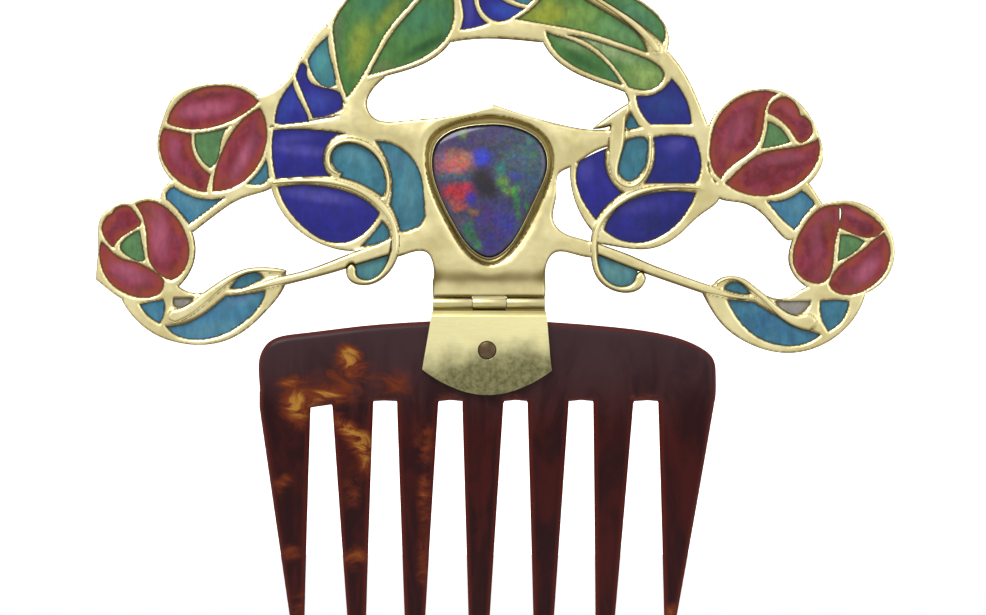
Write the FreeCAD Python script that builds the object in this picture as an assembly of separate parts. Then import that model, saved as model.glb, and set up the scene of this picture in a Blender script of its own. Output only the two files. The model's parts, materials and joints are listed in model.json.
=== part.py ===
"""Hinged hair comb: an enamelled gold ornament on a barrel hinge above a seven-tooth tortoiseshell comb.

Frame, in millimetres: X runs across the comb, Y from front (-) to back (+) and Z up. The origin is on the
comb's mid-plane, at the level of the tooth roots, which is how deep the comb goes into the hair.

The ornament is openwork. Each motif is a gold box whose cells hold fused enamel, and forged wires lie over
the motifs. Every outline below is a front view, given as runs of (x, z) points: a run is one smooth curve
that starts at a corner and ends where the next run starts, and a single run is a smooth closed curve.
"""

import FreeCAD
import Part

import math
import os

OUT = "parts"

# Driving dimensions
WEB_FRONT, WEB_BACK = -0.9, 0.9          # faces of the openwork sheet
ENAMEL_FRONT, ENAMEL_BACK = -0.45, 0.55  # enamel sits below the cell walls
WIRE_FRONT = -1.6                        # crest of the overlaid wires
PLATE_FRONT = -1.3                       # crest of the opal plate
CREST_LEFT, CREST_RIGHT = -9.5, 11.0     # the plate is that thick between these, above TAB_TOP
COLLET_WALL, COLLET_FRONT = 0.35, -1.25
OPAL_BASE, OPAL_TOP = 0.25, -2.1         # girdle seat and dome crest
OPAL_DOME_RADIUS = 46.0
OPAL_X, OPAL_Z = 0.1, 34.0               # middle of the stone
HOOP_TOP = 70.4

HINGE_Z = 15.4
KNUCKLE_RADIUS = 1.0
PIN_RADIUS = 0.45
FIXED_BORE, RUNNING_BORE = 0.46, 0.5
TAB_KNUCKLE = (-2.6, 2.7)                # span of the ornament's knuckle along X
HINGE_HALF_WIDTH = 8.85
KNUCKLE_GAP = 0.08
KNUCKLE_WEB = 0.6                        # half thickness of the tongue under each knuckle
TAB_FOOT = 16.55
LIP_FRONT, LIP_GAP = 0.25, 0.1           # the lip behind the tab's foot, coped to the fixed knuckles
TAB_TOP = 19.5                           # the tab is sheet thickness below this height
SADDLE_TOP = 14.3

SPINE_HALF = 1.8                         # half thickness of the comb's spine
TIP_HALF = 0.85                          # half thickness at the tooth tips
SPINE_TOP = 12.9
BEND_Z, BEND_RADIUS = 2.0, 262.0         # the teeth bend back below this height
TIP_Z, OUTER_TIP_Z = -47.5, -44.5
TOOTH_DROP = 33.0                        # drop over which a tooth's drift is given
TIP_ROUND, TIP_TAPER = 1.6, 16.0         # height of a tooth's round end, and of the taper above it
TOOTH_OVERLAP = 1.5                      # how far each tooth runs up into the spine
PROFILE_HEIGHTS = [SPINE_TOP + 2, 8.0, BEND_Z, -14.0, -31.0, TIP_Z - 1]
SADDLE_GAP, SADDLE_SHEET = 0.05, 0.9
SADDLE_BEVEL = 0.9                       # bevel along the fold's two shoulders
SADDLE_REACH = 12.0                      # half the width of the sheet it is cut from
RIVET_X, RIVET_Z, RIVET_RADIUS, RIVET_HEAD = -0.3, 8.1, 1.0, 1.3
RIVET_FIT, HEAD_FIT = 0.01, 0.02         # radial clearance round the shank and round the head
RIVET_SINK = 0.22                        # countersink round the head
HEAD_RISE, HEAD_DOME_RADIUS = 0.25, 3.4
CLEAR = 1.0                              # how far a cutter runs past what it cuts
SLIVER = 0.05                            # volume below which a fragment is scrap

# Left edge and right edge at the root, then how far each drifts over TOOTH_DROP
TEETH = [
    (-36.2, -28.2, 4.4, -1.1),
    (-24.7, -18.3, 2.1, -1.2),
    (-14.5, -8.0, 1.05, -2.05),
    (-4.2, 2.3, 0.9, -2.1),
    (6.1, 12.6, 0.9, -2.2),
    (16.5, 22.8, 0.4, -2.7),
    (26.8, 35.6, 1.0, -5.6),
]
SPINE = [
    [(-36.2, 0.0), (-36.3, 4.0), (-36.1, 7.2), (-34.9, 9.2), (-30.0, 10.7), (-20.0, 11.9), (-10.0, 12.6),
     (0.0, SPINE_TOP), (10.0, 12.5), (20.0, 11.7), (28.0, 10.5), (33.2, 8.6), (35.3, 6.8), (35.8, 3.8),
     (35.6, 0.0)],
    [(26.8, 0.0)], [(25.0, 0.15), (22.8, 0.0)], [(16.5, 0.0)], [(14.5, 0.2), (12.6, 0.0)],
    [(6.1, 0.0)], [(4.2, 0.2), (2.3, 0.0)], [(-4.2, 0.0)], [(-6.1, 0.2), (-8.0, 0.0)],
    [(-14.5, 0.0)], [(-16.5, 0.1), (-18.3, 0.0)], [(-24.7, -0.5)], [(-28.2, -1.0)],
]
SADDLE_FLAP = [
    [(-8.9, 14.3), (-9.4, 11.5), (-10.5, 5.1)],
    [(-10.5, 5.1), (-7.5, 3.1), (0.0, 1.05), (6.5, 2.8), (9.9, 4.9)],
    [(9.9, 4.9), (9.3, 11.0), (8.9, 14.3)],
]
SADDLE_REAR = [
    [(-8.9, 14.3), (-9.2, 9.0)],
    [(-9.2, 9.0), (-6.0, 5.6), (0.0, 4.2), (6.0, 5.6), (9.2, 9.0)],
    [(9.2, 9.0), (8.9, 14.3)],
]

OPAL = [[(0.3, 43.7), (4.6, 43.1), (8.3, 40.7), (9.2, 37.4), (7.6, 32.6), (5.0, 27.2), (2.4, 23.7),
         (0.1, 22.6), (-2.3, 23.6), (-5.3, 27.5), (-8.0, 33.0), (-9.0, 37.2), (-8.2, 40.9), (-4.6, 43.1)]]
APERTURE = [[(0.2, 45.0), (5.2, 44.1), (9.1, 41.4), (10.1, 37.6), (8.5, 32.0), (5.9, 26.9), (3.0, 23.0),
             (0.1, 21.5), (-3.0, 22.9), (-6.2, 27.4), (-8.9, 32.8), (-9.9, 37.4), (-9.1, 41.6),
             (-5.3, 44.1)]]

# The four rosebuds: rim, three petals and the green heart
ROSEBUDS = {
    "lower_left": {
        "rim": [[(-56.4, 31.5), (-59.2, 30.9), (-61.3, 28.9), (-61.7, 26.0)],
                [(-61.8, 22.5)],
                [(-62.0, 19.2), (-59.9, 17.5), (-57.6, 16.0)],
                [(-54.5, 15.6), (-51.3, 16.5), (-48.6, 18.6), (-46.8, 21.6), (-46.5, 25.0), (-48.1, 28.9),
                 (-51.3, 31.6), (-54.2, 32.2)]],
        "petals": [
            [[(-59.2, 24.2), (-60.7, 25.9), (-61.1, 27.5), (-60.4, 29.0)],
             [(-59.5, 29.6), (-58.3, 30.8), (-56.8, 30.8), (-55.5, 29.4), (-54.9, 28.0), (-55.8, 27.2),
              (-58.0, 25.8)]],
            [[(-50.0, 19.1), (-48.3, 20.4), (-47.3, 23.3), (-47.9, 26.6), (-50.1, 29.9), (-53.4, 31.6)],
             [(-55.8, 31.0), (-54.6, 28.9), (-54.0, 25.5), (-53.6, 22.2), (-52.2, 20.2)]],
            [[(-61.3, 24.9), (-61.3, 21.8), (-59.9, 18.9), (-57.1, 16.9), (-54.2, 16.3), (-51.8, 17.2),
              (-51.3, 18.9), (-52.9, 20.6), (-55.8, 22.0), (-59.4, 23.6)]],
        ],
        "heart": [[(-55.1, 27.0), (-56.9, 26.1), (-58.2, 24.2), (-57.0, 22.9)],
                  [(-55.4, 22.1), (-54.4, 22.2)], [(-54.3, 22.6), (-54.7, 25.0)]],
    },
    "upper_left": {
        "rim": [[(-42.2, 50.3), (-46.0, 50.0), (-49.3, 48.6), (-51.3, 45.0), (-52.3, 41.2), (-51.6, 37.1),
                 (-49.2, 34.1), (-45.6, 32.4), (-41.8, 32.5), (-38.2, 34.5), (-35.5, 37.9), (-34.6, 41.5),
                 (-34.9, 45.6), (-36.5, 48.3), (-39.0, 49.8)]],
        "petals": [
            [[(-50.8, 43.9), (-50.0, 46.1), (-47.2, 48.7), (-43.0, 49.8), (-39.2, 49.3)],
             [(-36.3, 47.2), (-39.3, 44.9), (-43.2, 43.3), (-47.5, 42.9)]],
            [[(-51.3, 43.1), (-52.0, 40.6), (-51.2, 37.4), (-48.8, 34.6), (-46.3, 33.3)],
             [(-44.6, 33.0), (-44.3, 34.4)], [(-43.9, 35.8), (-46.0, 37.9), (-46.9, 40.4)],
             [(-46.9, 42.2)]],
            [[(-36.1, 46.3), (-35.1, 43.6), (-35.4, 39.6), (-37.3, 36.0), (-40.4, 33.7)],
             [(-43.6, 33.1), (-43.3, 36.0), (-42.0, 39.7), (-39.7, 43.6)]],
        ],
        "heart": [[(-46.4, 42.2), (-43.7, 42.6)], [(-40.8, 43.4), (-42.3, 40.6), (-43.4, 37.2)],
                  [(-44.0, 36.8), (-45.9, 38.9)]],
    },
    "upper_right": {
        "rim": [[(43.5, 49.3), (47.0, 48.5), (50.4, 45.4), (52.2, 41.7), (52.7, 38.2), (51.0, 34.9),
                 (47.4, 32.5), (42.8, 31.6), (38.6, 32.9), (35.4, 35.0), (34.5, 39.0), (34.9, 43.8),
                 (37.2, 47.2), (40.2, 48.9)]],
        "petals": [
            [[(45.6, 48.5), (42.8, 49.0), (39.0, 47.7), (36.0, 44.6), (34.9, 40.6), (35.3, 36.6)],
             [(36.6, 35.1), (39.4, 37.9), (42.1, 40.1), (43.3, 43.7), (43.9, 46.8)]],
            [[(44.0, 45.4), (44.6, 47.1), (46.8, 48.0), (48.8, 46.2)],
             [(49.1, 45.1), (50.9, 43.6), (50.8, 41.8), (49.0, 40.8), (47.8, 42.3), (46.2, 44.1)]],
            [[(37.3, 34.4), (40.2, 37.3), (43.2, 39.2), (47.4, 40.0)],
             [(51.9, 41.4), (51.9, 38.2), (49.6, 34.9), (45.9, 32.8), (41.4, 32.5)]],
        ],
        "heart": [[(44.0, 44.2), (46.1, 43.0)], [(47.5, 40.9), (45.5, 40.3)], [(43.0, 39.9), (43.7, 42.3)]],
    },
    "lower_right": {
        "rim": [[(54.8, 31.6), (59.0, 31.1), (62.4, 28.5), (64.0, 24.2), (63.1, 20.1), (60.4, 17.5),
                 (55.9, 16.3), (52.2, 17.1), (49.0, 19.0), (47.4, 21.9), (47.9, 25.4), (49.6, 29.0),
                 (51.9, 30.9)]],
        "petals": [
            [[(54.7, 31.0), (51.9, 30.2), (49.4, 27.3), (48.0, 23.7), (48.3, 20.8), (50.6, 18.8),
              (53.0, 18.9), (54.2, 21.2), (54.7, 25.5)]],
            [[(55.3, 31.0), (57.2, 30.9)], [(58.9, 30.0), (60.9, 28.8)],
             [(62.3, 27.1), (60.0, 25.8), (57.4, 26.4)], [(55.3, 27.4)]],
            [[(62.3, 26.6), (63.3, 23.6), (62.4, 20.2), (59.5, 17.6), (55.6, 16.9), (53.8, 18.1),
              (54.6, 20.6), (57.4, 22.9)], [(60.2, 25.2)]],
        ],
        "heart": [[(55.4, 26.3), (57.0, 26.2), (59.3, 25.2)], [(59.3, 25.2), (57.4, 23.3)], [(55.0, 22.1)]],
    },
}

# Outline of each other motif, then its cells by enamel node
LEAVES = {
    "left_leaf": {
        "outline": [[(-22.8, 46.9), (-24.2, 51.0), (-25.0, 55.3), (-25.3, 58.7)],
                    [(-24.4, 61.0), (-21.6, 64.3), (-17.0, 67.4), (-12.0, 69.0)],
                    [(-7.7, 69.3), (-5.4, 66.2), (-4.8, 61.6), (-5.6, 57.6), (-8.8, 54.2), (-13.8, 52.1)],
                    [(-19.6, 50.4)]],
        "cells": {"left_leaf_enamel": [
            [[(-22.4, 47.9), (-23.6, 51.5), (-24.4, 56.5), (-24.3, 60.2)],
             [(-24.2, 60.4), (-21.6, 63.9), (-17.0, 66.8), (-12.6, 68.2)],
             [(-8.6, 68.5), (-10.6, 64.8), (-15.9, 58.6), (-18.9, 53.2)]],
            [[(-19.1, 51.4), (-14.2, 52.7), (-9.4, 54.8), (-6.2, 58.2), (-5.5, 62.4)],
             [(-7.9, 67.9), (-10.4, 63.9), (-15.0, 58.5), (-17.4, 54.6)]],
        ]},
    },
    "upper_right_leaf": {
        "outline": [[(3.0, 59.9), (9.0, 59.0), (16.0, 57.5), (21.5, 55.7), (25.8, 54.0)],
                    [(27.0, 53.6), (28.2, 55.5), (28.2, 58.4), (26.3, 61.4), (21.2, 64.8), (15.5, 67.8)],
                    [(9.4, 69.3), (8.0, 65.0), (5.9, 62.2)]],
        "cells": {"upper_right_leaf_enamel": [
            [[(4.2, 60.3), (10.0, 59.3), (16.5, 57.9), (21.5, 56.2)],
             [(25.0, 55.0), (23.6, 57.8), (19.6, 60.8), (14.6, 63.8)],
             [(10.0, 67.6), (8.9, 64.7), (6.6, 61.9)]],
            [[(27.4, 56.4), (27.6, 59.2), (25.9, 61.4), (21.0, 64.5), (15.5, 67.0)],
             [(11.2, 68.3), (16.2, 64.3), (21.5, 61.1), (25.4, 58.3)]],
        ]},
    },
    "lower_right_leaf": {
        "outline": [[(8.2, 59.1), (14.0, 58.0), (20.0, 56.4), (24.6, 54.7), (27.4, 53.0), (28.4, 51.0),
                     (27.2, 49.1), (24.3, 48.5)],
                    [(21.4, 48.9), (16.4, 50.7), (11.8, 53.0)], [(8.5, 56.8)]],
        "cells": {"lower_right_leaf_enamel": [
            [[(11.2, 57.9), (15.5, 57.3), (20.2, 55.8), (25.4, 53.8), (27.6, 51.6), (26.6, 49.7),
              (23.8, 49.1)], [(22.0, 49.6), (19.8, 52.7), (16.8, 55.7)]],
            [[(9.0, 58.3)], [(10.6, 57.7), (16.2, 55.3), (19.3, 52.5)],
             [(21.0, 49.9), (15.6, 51.8), (10.9, 54.8)]],
        ]},
    },
}
PLATE = [
    [(-34.0, 43.4), (-30.0, 43.9), (-25.6, 44.6), (-23.0, 45.7)],
    [(-22.8, 46.9)], [(-19.6, 50.4)],
    [(-16.1, 51.4), (-18.3, 49.4), (-19.3, 46.9), (-18.2, 44.8), (-13.5, 44.3), (-6.0, 45.0)],
    [(0.6, 46.8), (6.5, 44.9), (11.5, 43.6), (15.5, 42.9)],
    [(19.2, 42.9)],
    [(19.2, 40.3), (15.6, 38.8), (12.9, 37.0), (11.1, 36.0), (10.6, 32.4), (10.2, 28.4), (11.3, 26.9),
     (13.2, 26.0)],
    [(17.0, 24.7)], [(17.0, 22.8), (13.2, 23.3), (10.3, 23.4), (9.1, 21.7), (8.9, 19.0)],
    [(8.85, TAB_FOOT)], [(-8.85, TAB_FOOT)],
    [(-8.9, 19.0), (-9.0, 22.2), (-9.9, 23.5), (-11.4, 23.7), (-13.2, 23.2)], [(-15.3, 22.7)],
    [(-15.3, 25.8), (-14.0, 26.7), (-11.6, 27.2), (-10.2, 29.0), (-10.2, 34.5), (-12.3, 38.8),
    (-17.4, 41.5),
     (-24.2, 42.8), (-30.0, 43.0)],
    [(-34.0, 43.0)],
]
LOBES = {
    "left_lobe": {
        "outline": [[(-34.9, 43.2), (-34.9, 37.2), (-33.9, 32.2), (-31.2, 28.0), (-27.6, 25.3),
                    (-23.6, 23.9)],
                    [(-20.9, 23.7)], [(-15.3, 25.3), (-14.6, 27.6), (-14.1, 26.4)],
                    [(-10.0, 26.8), (-9.4, 33.0), (-12.0, 39.2), (-17.0, 42.0), (-24.0, 43.0)]],
        "cells": {
            "left_lobe_blue_enamel": [
                [[(-34.0, 42.8), (-28.5, 42.9), (-22.0, 42.1)],
                 [(-22.0, 42.1), (-24.8, 41.3), (-26.0, 39.2), (-25.8, 36.6)],
                 [(-25.0, 35.5), (-29.3, 35.4)], [(-33.6, 35.1), (-34.2, 38.5)]],
                [[(-33.3, 33.8), (-29.0, 34.2), (-23.8, 33.5), (-19.6, 31.8)],
                 [(-17.3, 29.7), (-19.0, 27.1), (-22.0, 25.2), (-25.5, 25.2), (-29.6, 27.8),
                 (-32.2, 31.0)]],
            ],
            "left_lobe_turquoise_enamel": [
                [[(-23.5, 35.3), (-20.0, 34.2)], [(-16.8, 32.2), (-16.2, 34.6), (-17.3, 37.8),
                 (-19.6, 40.2),
                 (-22.6, 40.7), (-24.9, 39.2), (-24.7, 37.5)], [(-23.2, 36.0)]],
                [[(-17.9, 41.0), (-13.6, 39.7), (-10.9, 36.2), (-10.2, 31.0), (-10.6, 28.1), (-12.0, 27.2)],
                 [(-14.1, 26.9), (-14.6, 29.0)], [(-15.6, 31.0), (-15.3, 34.3), (-16.2, 38.2)]],
                [[(-16.9, 28.4), (-15.8, 26.9)], [(-15.7, 25.5), (-17.8, 24.8)],
                 [(-20.2, 24.4), (-18.4, 26.4)]],
            ],
        },
    },
    "right_lobe": {
        "outline": [[(21.6, 42.6), (25.0, 43.3), (30.0, 43.2), (34.7, 43.6)],
                    [(34.9, 39.0), (35.0, 35.6), (36.4, 32.2), (33.4, 29.4), (29.7, 26.0), (25.6, 24.1),
                     (21.4, 24.2)],
                    [(17.2, 24.9)], [(16.3, 26.9), (14.0, 30.6), (13.0, 34.0)],
                    [(12.8, 37.1), (16.0, 38.8)], [(18.8, 40.1), (20.0, 41.2)]],
        "cells": {
            "right_lobe_blue_enamel": [
                [[(25.9, 41.6), (29.5, 42.0)], [(32.4, 41.6), (33.4, 38.4), (33.3, 36.0)],
                 [(32.6, 34.4), (28.5, 34.4)], [(24.5, 34.4), (25.8, 36.9)]],
                [[(14.3, 37.9), (16.4, 39.0)], [(18.5, 39.9), (18.5, 36.6), (19.6, 34.3)],
                 [(21.2, 32.9), (18.7, 30.9)], [(16.9, 28.6), (14.7, 31.8), (13.7, 35.6)]],
                [[(18.2, 27.1), (19.2, 29.3), (22.6, 31.9), (27.4, 33.1)],
                 [(32.6, 32.9), (31.2, 29.9), (28.0, 26.6), (24.0, 25.0), (20.6, 25.5)]],
            ],
            "right_lobe_turquoise_enamel": [
                [[(21.5, 41.1), (24.8, 41.4)], [(24.9, 38.8), (24.0, 36.0), (22.2, 34.7), (20.5, 36.0),
                 (20.7, 38.4)]],
            ],
        },
    },
}
HOOP = {
    "outline": [[(-34.9, 43.2)], [(-36.4, 48.3), (-33.9, 49.2), (-30.6, 52.7), (-25.3, 59.2)],
                [(-25.0, 58.0), (-17.0, 66.0), (-8.0, 69.4), (0.0, 70.3), (9.0, 69.6), (17.0, 66.2),
                (26.0, 58.0)],
                [(28.2, 55.2), (31.4, 50.8), (33.4, 46.4)], [(34.7, 43.2)], [(21.6, 42.5)],
                [(21.6, 45.6), (22.0, 47.6), (21.2, 49.1)], [(14.0, 53.0)],
                [(8.6, 56.7), (1.5, 57.3), (-5.7, 56.8)], [(-13.0, 53.5)], [(-19.0, 51.5)],
                [(-23.0, 45.2)]],
    "cells": {
        "hoop_blue_enamel": [
            [[(-33.8, 43.9), (-33.0, 47.4), (-30.9, 50.4)], [(-30.9, 50.4), (-29.9, 47.6), (-28.5, 44.7)]],
            [[(-27.8, 44.7), (-29.2, 48.0), (-30.5, 51.2)], [(-30.5, 51.2), (-29.2, 53.3)],
             [(-28.7, 52.6), (-27.2, 49.8), (-23.9, 48.9)], [(-23.2, 46.1), (-25.4, 45.0)]],
            [[(-4.6, 58.6), (-2.4, 58.9), (-0.2, 59.6)], [(-0.2, 59.6), (-2.2, 62.5), (-2.1, 66.0),
             (-1.3, 69.2)],
             [(-4.2, 69.0), (-4.9, 67.4), (-4.4, 63.2)]],
            [[(-1.6, 63.0), (-0.4, 60.8), (1.6, 59.9), (3.7, 60.6)], [(5.7, 62.0), (2.8, 62.9), (0.6, 65.0),
             (-0.5, 68.6)], [(-1.2, 66.5)]],
            [[(28.8, 50.9), (26.8, 48.8), (23.2, 48.2)], [(23.2, 48.2), (23.8, 45.9), (25.5, 43.7)],
             [(25.5, 43.7), (28.5, 43.7), (31.9, 43.7)], [(31.9, 43.7), (31.4, 46.8)]],
        ],
        "hoop_turquoise_enamel": [
            [[(-28.6, 53.9), (-25.9, 57.2)], [(-25.4, 57.6), (-25.0, 54.2), (-24.2, 50.2)],
             [(-24.2, 49.8), (-25.8, 49.6), (-27.8, 51.5)]],
            [[(22.3, 45.6), (23.0, 44.5)], [(23.8, 43.3), (21.9, 43.0)]],
        ],
        "hoop_green_enamel": [
            [[(6.4, 62.5), (7.9, 66.0), (8.4, 68.8)], [(4.2, 69.3), (0.1, 69.4)],
             [(1.3, 65.6), (3.4, 63.5)]],
        ],
    },
}
BRANCHES = {
    "left_branch": {
        "outline": [[(-49.9, 35.2), (-51.9, 31.8)], [(-49.0, 27.5)], [(-46.8, 26.7), (-43.2, 29.5),
                    (-38.7, 32.2), (-34.5, 33.6)], [(-34.5, 40.0)], [(-40.0, 34.0)]],
        "cells": {"left_branch_enamel": [
            [[(-49.7, 33.9), (-51.0, 32.2)], [(-50.9, 31.9), (-48.8, 29.9)], [(-47.3, 27.9), (-44.6, 29.9)],
             [(-41.7, 32.1), (-45.6, 32.0)]],
            [[(-35.2, 38.2), (-36.5, 36.0)], [(-38.2, 34.3), (-35.2, 34.6)]],
        ]},
    },
    "right_branch": {
        "outline": [[(35.0, 34.6), (36.4, 32.0), (39.6, 31.4), (43.8, 29.0), (47.7, 25.4)], [(49.0, 27.5)],
                    [(52.6, 31.2)], [(50.4, 34.6)], [(44.0, 34.0)]],
        "cells": {"right_branch_enamel": [
            [[(43.9, 31.5), (46.8, 31.9)], [(49.3, 33.3), (50.9, 30.5)], [(50.7, 30.4), (49.2, 28.4)],
             [(48.2, 27.0), (46.0, 29.0)]],
        ]},
    },
}
CRESCENTS = {
    "left_crescent": {
        "outline": [[(-58.2, 16.6), (-56.0, 13.2), (-52.4, 10.4), (-48.9, 9.2), (-44.7, 8.9), (-41.0, 9.8),
                     (-37.9, 11.7), (-35.2, 14.3), (-33.3, 16.5)],
                    [(-32.3, 18.2)],
                    [(-32.1, 20.4), (-34.5, 20.9), (-37.6, 20.7), (-40.5, 19.6), (-43.0, 17.9),
                    (-46.5, 17.1)],
                    [(-49.3, 18.4)], [(-51.5, 18.5)]],
        "cells": {
            "left_crescent_turquoise_enamel": [
                [[(-51.0, 11.9), (-47.2, 12.6), (-44.3, 14.3)],
                 [(-41.6, 16.6), (-40.0, 16.75), (-37.6, 17.05)],
                 [(-35.3, 17.5), (-35.6, 16.1), (-37.3, 13.7), (-40.0, 11.5), (-43.1, 10.1), (-46.3, 9.7),
                  (-48.9, 10.2)]],
                [[(-40.8, 17.8), (-40.0, 18.9), (-38.7, 20.0), (-37.0, 20.4)],
                 [(-35.6, 19.4), (-37.0, 18.6), (-38.8, 17.9)]],
                [[(-55.1, 15.3), (-53.2, 15.7)], [(-51.3, 16.1), (-51.2, 14.2)],
                 [(-51.9, 12.3), (-53.7, 13.4)]],
            ],
            "clear_crescent_enamel": [
                [[(-49.7, 16.3)], [(-46.7, 16.3), (-48.0, 14.9)], [(-49.2, 14.8), (-49.8, 15.5)]],
            ],
        },
    },
    "right_crescent": {
        "outline": [[(59.4, 17.1), (57.6, 13.1), (53.0, 9.1), (47.2, 7.6), (41.5, 8.9), (36.7, 12.3),
                     (34.6, 15.4)],
                    [(33.6, 17.3)],
                    [(35.6, 18.6), (37.0, 19.4), (38.5, 19.7), (40.3, 19.1), (42.0, 17.8), (44.0, 16.6)],
                    [(48.5, 17.1), (50.4, 18.1)], [(53.0, 18.5)]],
        "cells": {
            "right_crescent_turquoise_enamel": [
                [[(37.6, 16.0), (39.7, 15.9)], [(41.9, 15.6), (46.2, 13.1), (52.3, 10.5)],
                 [(52.3, 10.5), (49.6, 9.0), (45.6, 8.9), (41.2, 10.9), (38.6, 14.0)]],
                [[(37.1, 17.7), (37.9, 18.6), (39.1, 18.8), (40.2, 18.2)],
                 [(41.2, 16.9), (39.8, 16.95), (38.2, 17.3)]],
                [[(52.2, 15.8), (54.6, 16.0)], [(56.8, 15.8), (55.9, 13.0)], [(53.5, 11.0), (52.4, 13.4)]],
            ],
            "clear_crescent_enamel": [
                [[(45.2, 15.8)], [(50.7, 15.8), (49.8, 14.3), (48.2, 13.6), (46.4, 14.3)]],
            ],
        },
    },
}
SCROLL_CELLS = [
    [[(-21.0, 21.5), (-19.4, 22.2), (-15.8, 23.1)], [(-15.6, 22.4), (-17.1, 19.9), (-19.5, 18.9),
     (-21.0, 19.9)]],
    [[(17.2, 22.9), (20.0, 22.0), (23.0, 20.8)],
     [(22.9, 19.6), (21.9, 18.2), (20.2, 18.0), (18.1, 19.2), (17.2, 21.0)]],
]

# Forged wires laid over the motifs: centre line with the width at each point
WIRES = {
    "left_scroll_wire": [(-34.0, 34.5, 0.8), (-29.5, 34.8, 0.9), (-24.5, 34.5, 1.1), (-20.0, 33.0, 1.1),
                         (-16.9, 30.7, 1.4), (-15.0, 27.6, 1.2), (-14.9, 23.8, 1.4), (-16.3, 20.6, 1.1),
                         (-19.1, 18.8, 0.9), (-21.2, 19.3, 1.4), (-21.7, 20.9, 1.7)],
    "left_curl_wire": [(-23.9, 35.9, 0.7), (-25.3, 37.3, 1.0), (-25.2, 39.4, 1.1), (-23.4, 40.9, 0.9),
                       (-20.6, 40.9, 1.0), (-18.0, 39.4, 1.0), (-16.2, 36.3, 0.9), (-15.9, 33.3, 0.8),
                       (-16.4, 31.5, 0.9)],
    "left_crescent_wire": [(-32.3, 20.5, 0.6), (-34.0, 20.65, 0.9), (-36.0, 20.75, 0.85),
                           (-38.0, 20.55, 0.9),
                           (-40.0, 19.75, 1.1), (-41.8, 18.6, 1.3), (-45.0, 16.1, 1.75), (-47.6, 14.2, 1.9),
                           (-49.7, 13.4, 2.3)],
    "right_scroll_wire": [(33.2, 33.6, 0.8), (28.5, 33.8, 0.9), (23.3, 32.8, 1.1), (19.2, 30.2, 1.1),
                          (16.9, 26.8, 1.1), (16.6, 23.4, 1.1), (17.6, 19.6, 1.0), (20.6, 17.7, 1.0),
                          (23.0, 18.1, 1.5), (23.9, 19.6, 1.8)],
    "right_loop_wire": [(21.5, 46.2, 1.0), (20.4, 43.6, 2.4), (20.1, 40.6, 2.5), (19.7, 37.4, 1.7),
                        (20.3, 34.9, 1.0), (22.2, 33.9, 0.9), (24.3, 35.3, 0.9), (25.3, 38.2, 0.8),
                        (25.4, 41.6, 0.8)],
    "right_crescent_wire": [(36.0, 18.6, 0.7), (37.1, 19.25, 0.75), (38.6, 19.4, 0.75), (40.2, 18.8, 1.0),
                            (41.7, 17.6, 1.1), (43.4, 16.2, 1.2), (45.6, 14.2, 1.4), (47.9, 12.8, 1.8),
                            (50.3, 12.5, 3.0)],
    "right_leaf_midrib": [(11.0, 67.7, 0.9), (15.3, 64.5, 0.9), (20.4, 61.2, 1.0), (24.4, 58.0, 1.4),
                          (26.4, 55.4, 1.5)],
    "left_stem": [(-15.0, 24.65, 2.7), (-17.0, 23.9, 2.4), (-20.0, 22.9, 2.2), (-25.0, 21.15, 1.8),
                  (-30.0, 19.65, 1.45),
                  (-34.0, 18.7, 1.45), (-36.0, 18.15, 1.1), (-38.0, 17.6, 0.6), (-41.3, 17.0, 0.4)],
    "right_stem": [(16.9, 24.1, 1.75), (18.5, 23.5, 1.8), (22.0, 22.15, 1.9), (25.0, 20.95, 1.7),
                   (30.0, 19.15, 1.6),
                   (33.0, 18.1, 1.55), (35.0, 17.45, 1.5), (37.0, 16.85, 1.1), (39.0, 16.45, 0.8),
                   (41.8, 16.2, 0.4)],
}
HOOK_FLAP = [[(16.3, 43.0), (18.4, 44.7), (22.1, 47.1)],
             [(22.1, 47.1), (21.8, 44.9), (20.4, 44.0), (18.6, 43.3)]]


def at(x, y, z):
    return FreeCAD.Vector(x, y, z)


def front_wire(runs, y=0.0):
    """Closed wire in the plane at depth y from runs of (x, z) points."""
    points = [[at(x, y, z) for x, z in run] for run in runs]
    if len(points) == 1:
        curve = Part.BSplineCurve()
        curve.interpolate(points[0], PeriodicFlag=True)
        return Part.Wire(curve.toShape())
    edges = []
    for i, run in enumerate(points):
        corner = points[(i + 1) % len(points)][0]
        path = run if (run[-1] - corner).Length < 1e-6 else run + [corner]
        if len(path) == 2:
            edges.append(Part.LineSegment(*path).toShape())
        elif len(path) > 2:
            curve = Part.BSplineCurve()
            curve.interpolate(path)
            edges.append(curve.toShape())
    return Part.Wire(edges)


def prism(runs, front, back):
    """The outline as a solid from depth front to depth back."""
    return Part.Face(front_wire(runs, front)).extrude(at(0, back - front, 0))


def joined(shapes):
    first, *rest = shapes
    return first.multiFuse(rest).removeSplitter() if rest else first


def sound(shape):
    """The solids of a shape, without slivers."""
    return [solid for solid in shape.Solids if solid.Volume > SLIVER]


def box(low, high):
    return Part.makeBox(*(b - a for a, b in zip(low, high)), at(*low))


def rod(start, end, radius):
    """A cylinder between two points."""
    return Part.makeCylinder(radius, (end - start).Length, start, end - start)


def ribbon_runs(points):
    """The outline of a wire of varying width: one side, a round end, the other side, a round end."""
    curve = Part.BSplineCurve()
    curve.interpolate([at(x, 0, z) for x, z, _ in points])
    left, right = [], []
    for x, z, width in points:
        run = curve.tangent(curve.parameter(at(x, 0, z)))[0].normalize()
        side = at(-run.z, 0, run.x) * (width / 2)
        left.append((x + side.x, z + side.z))
        right.append((x - side.x, z - side.z))
    ends = []
    for index, sign in ((-1, 1), (0, -1)):
        x, z, width = points[index]
        run = curve.tangent(curve.parameter(at(x, 0, z)))[0].normalize()
        ends.append((x + sign * run.x * width / 2, z + sign * run.z * width / 2))
    return [left, [left[-1], ends[0], right[-1]], right[::-1], [right[0], ends[1], left[0]]]


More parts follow.
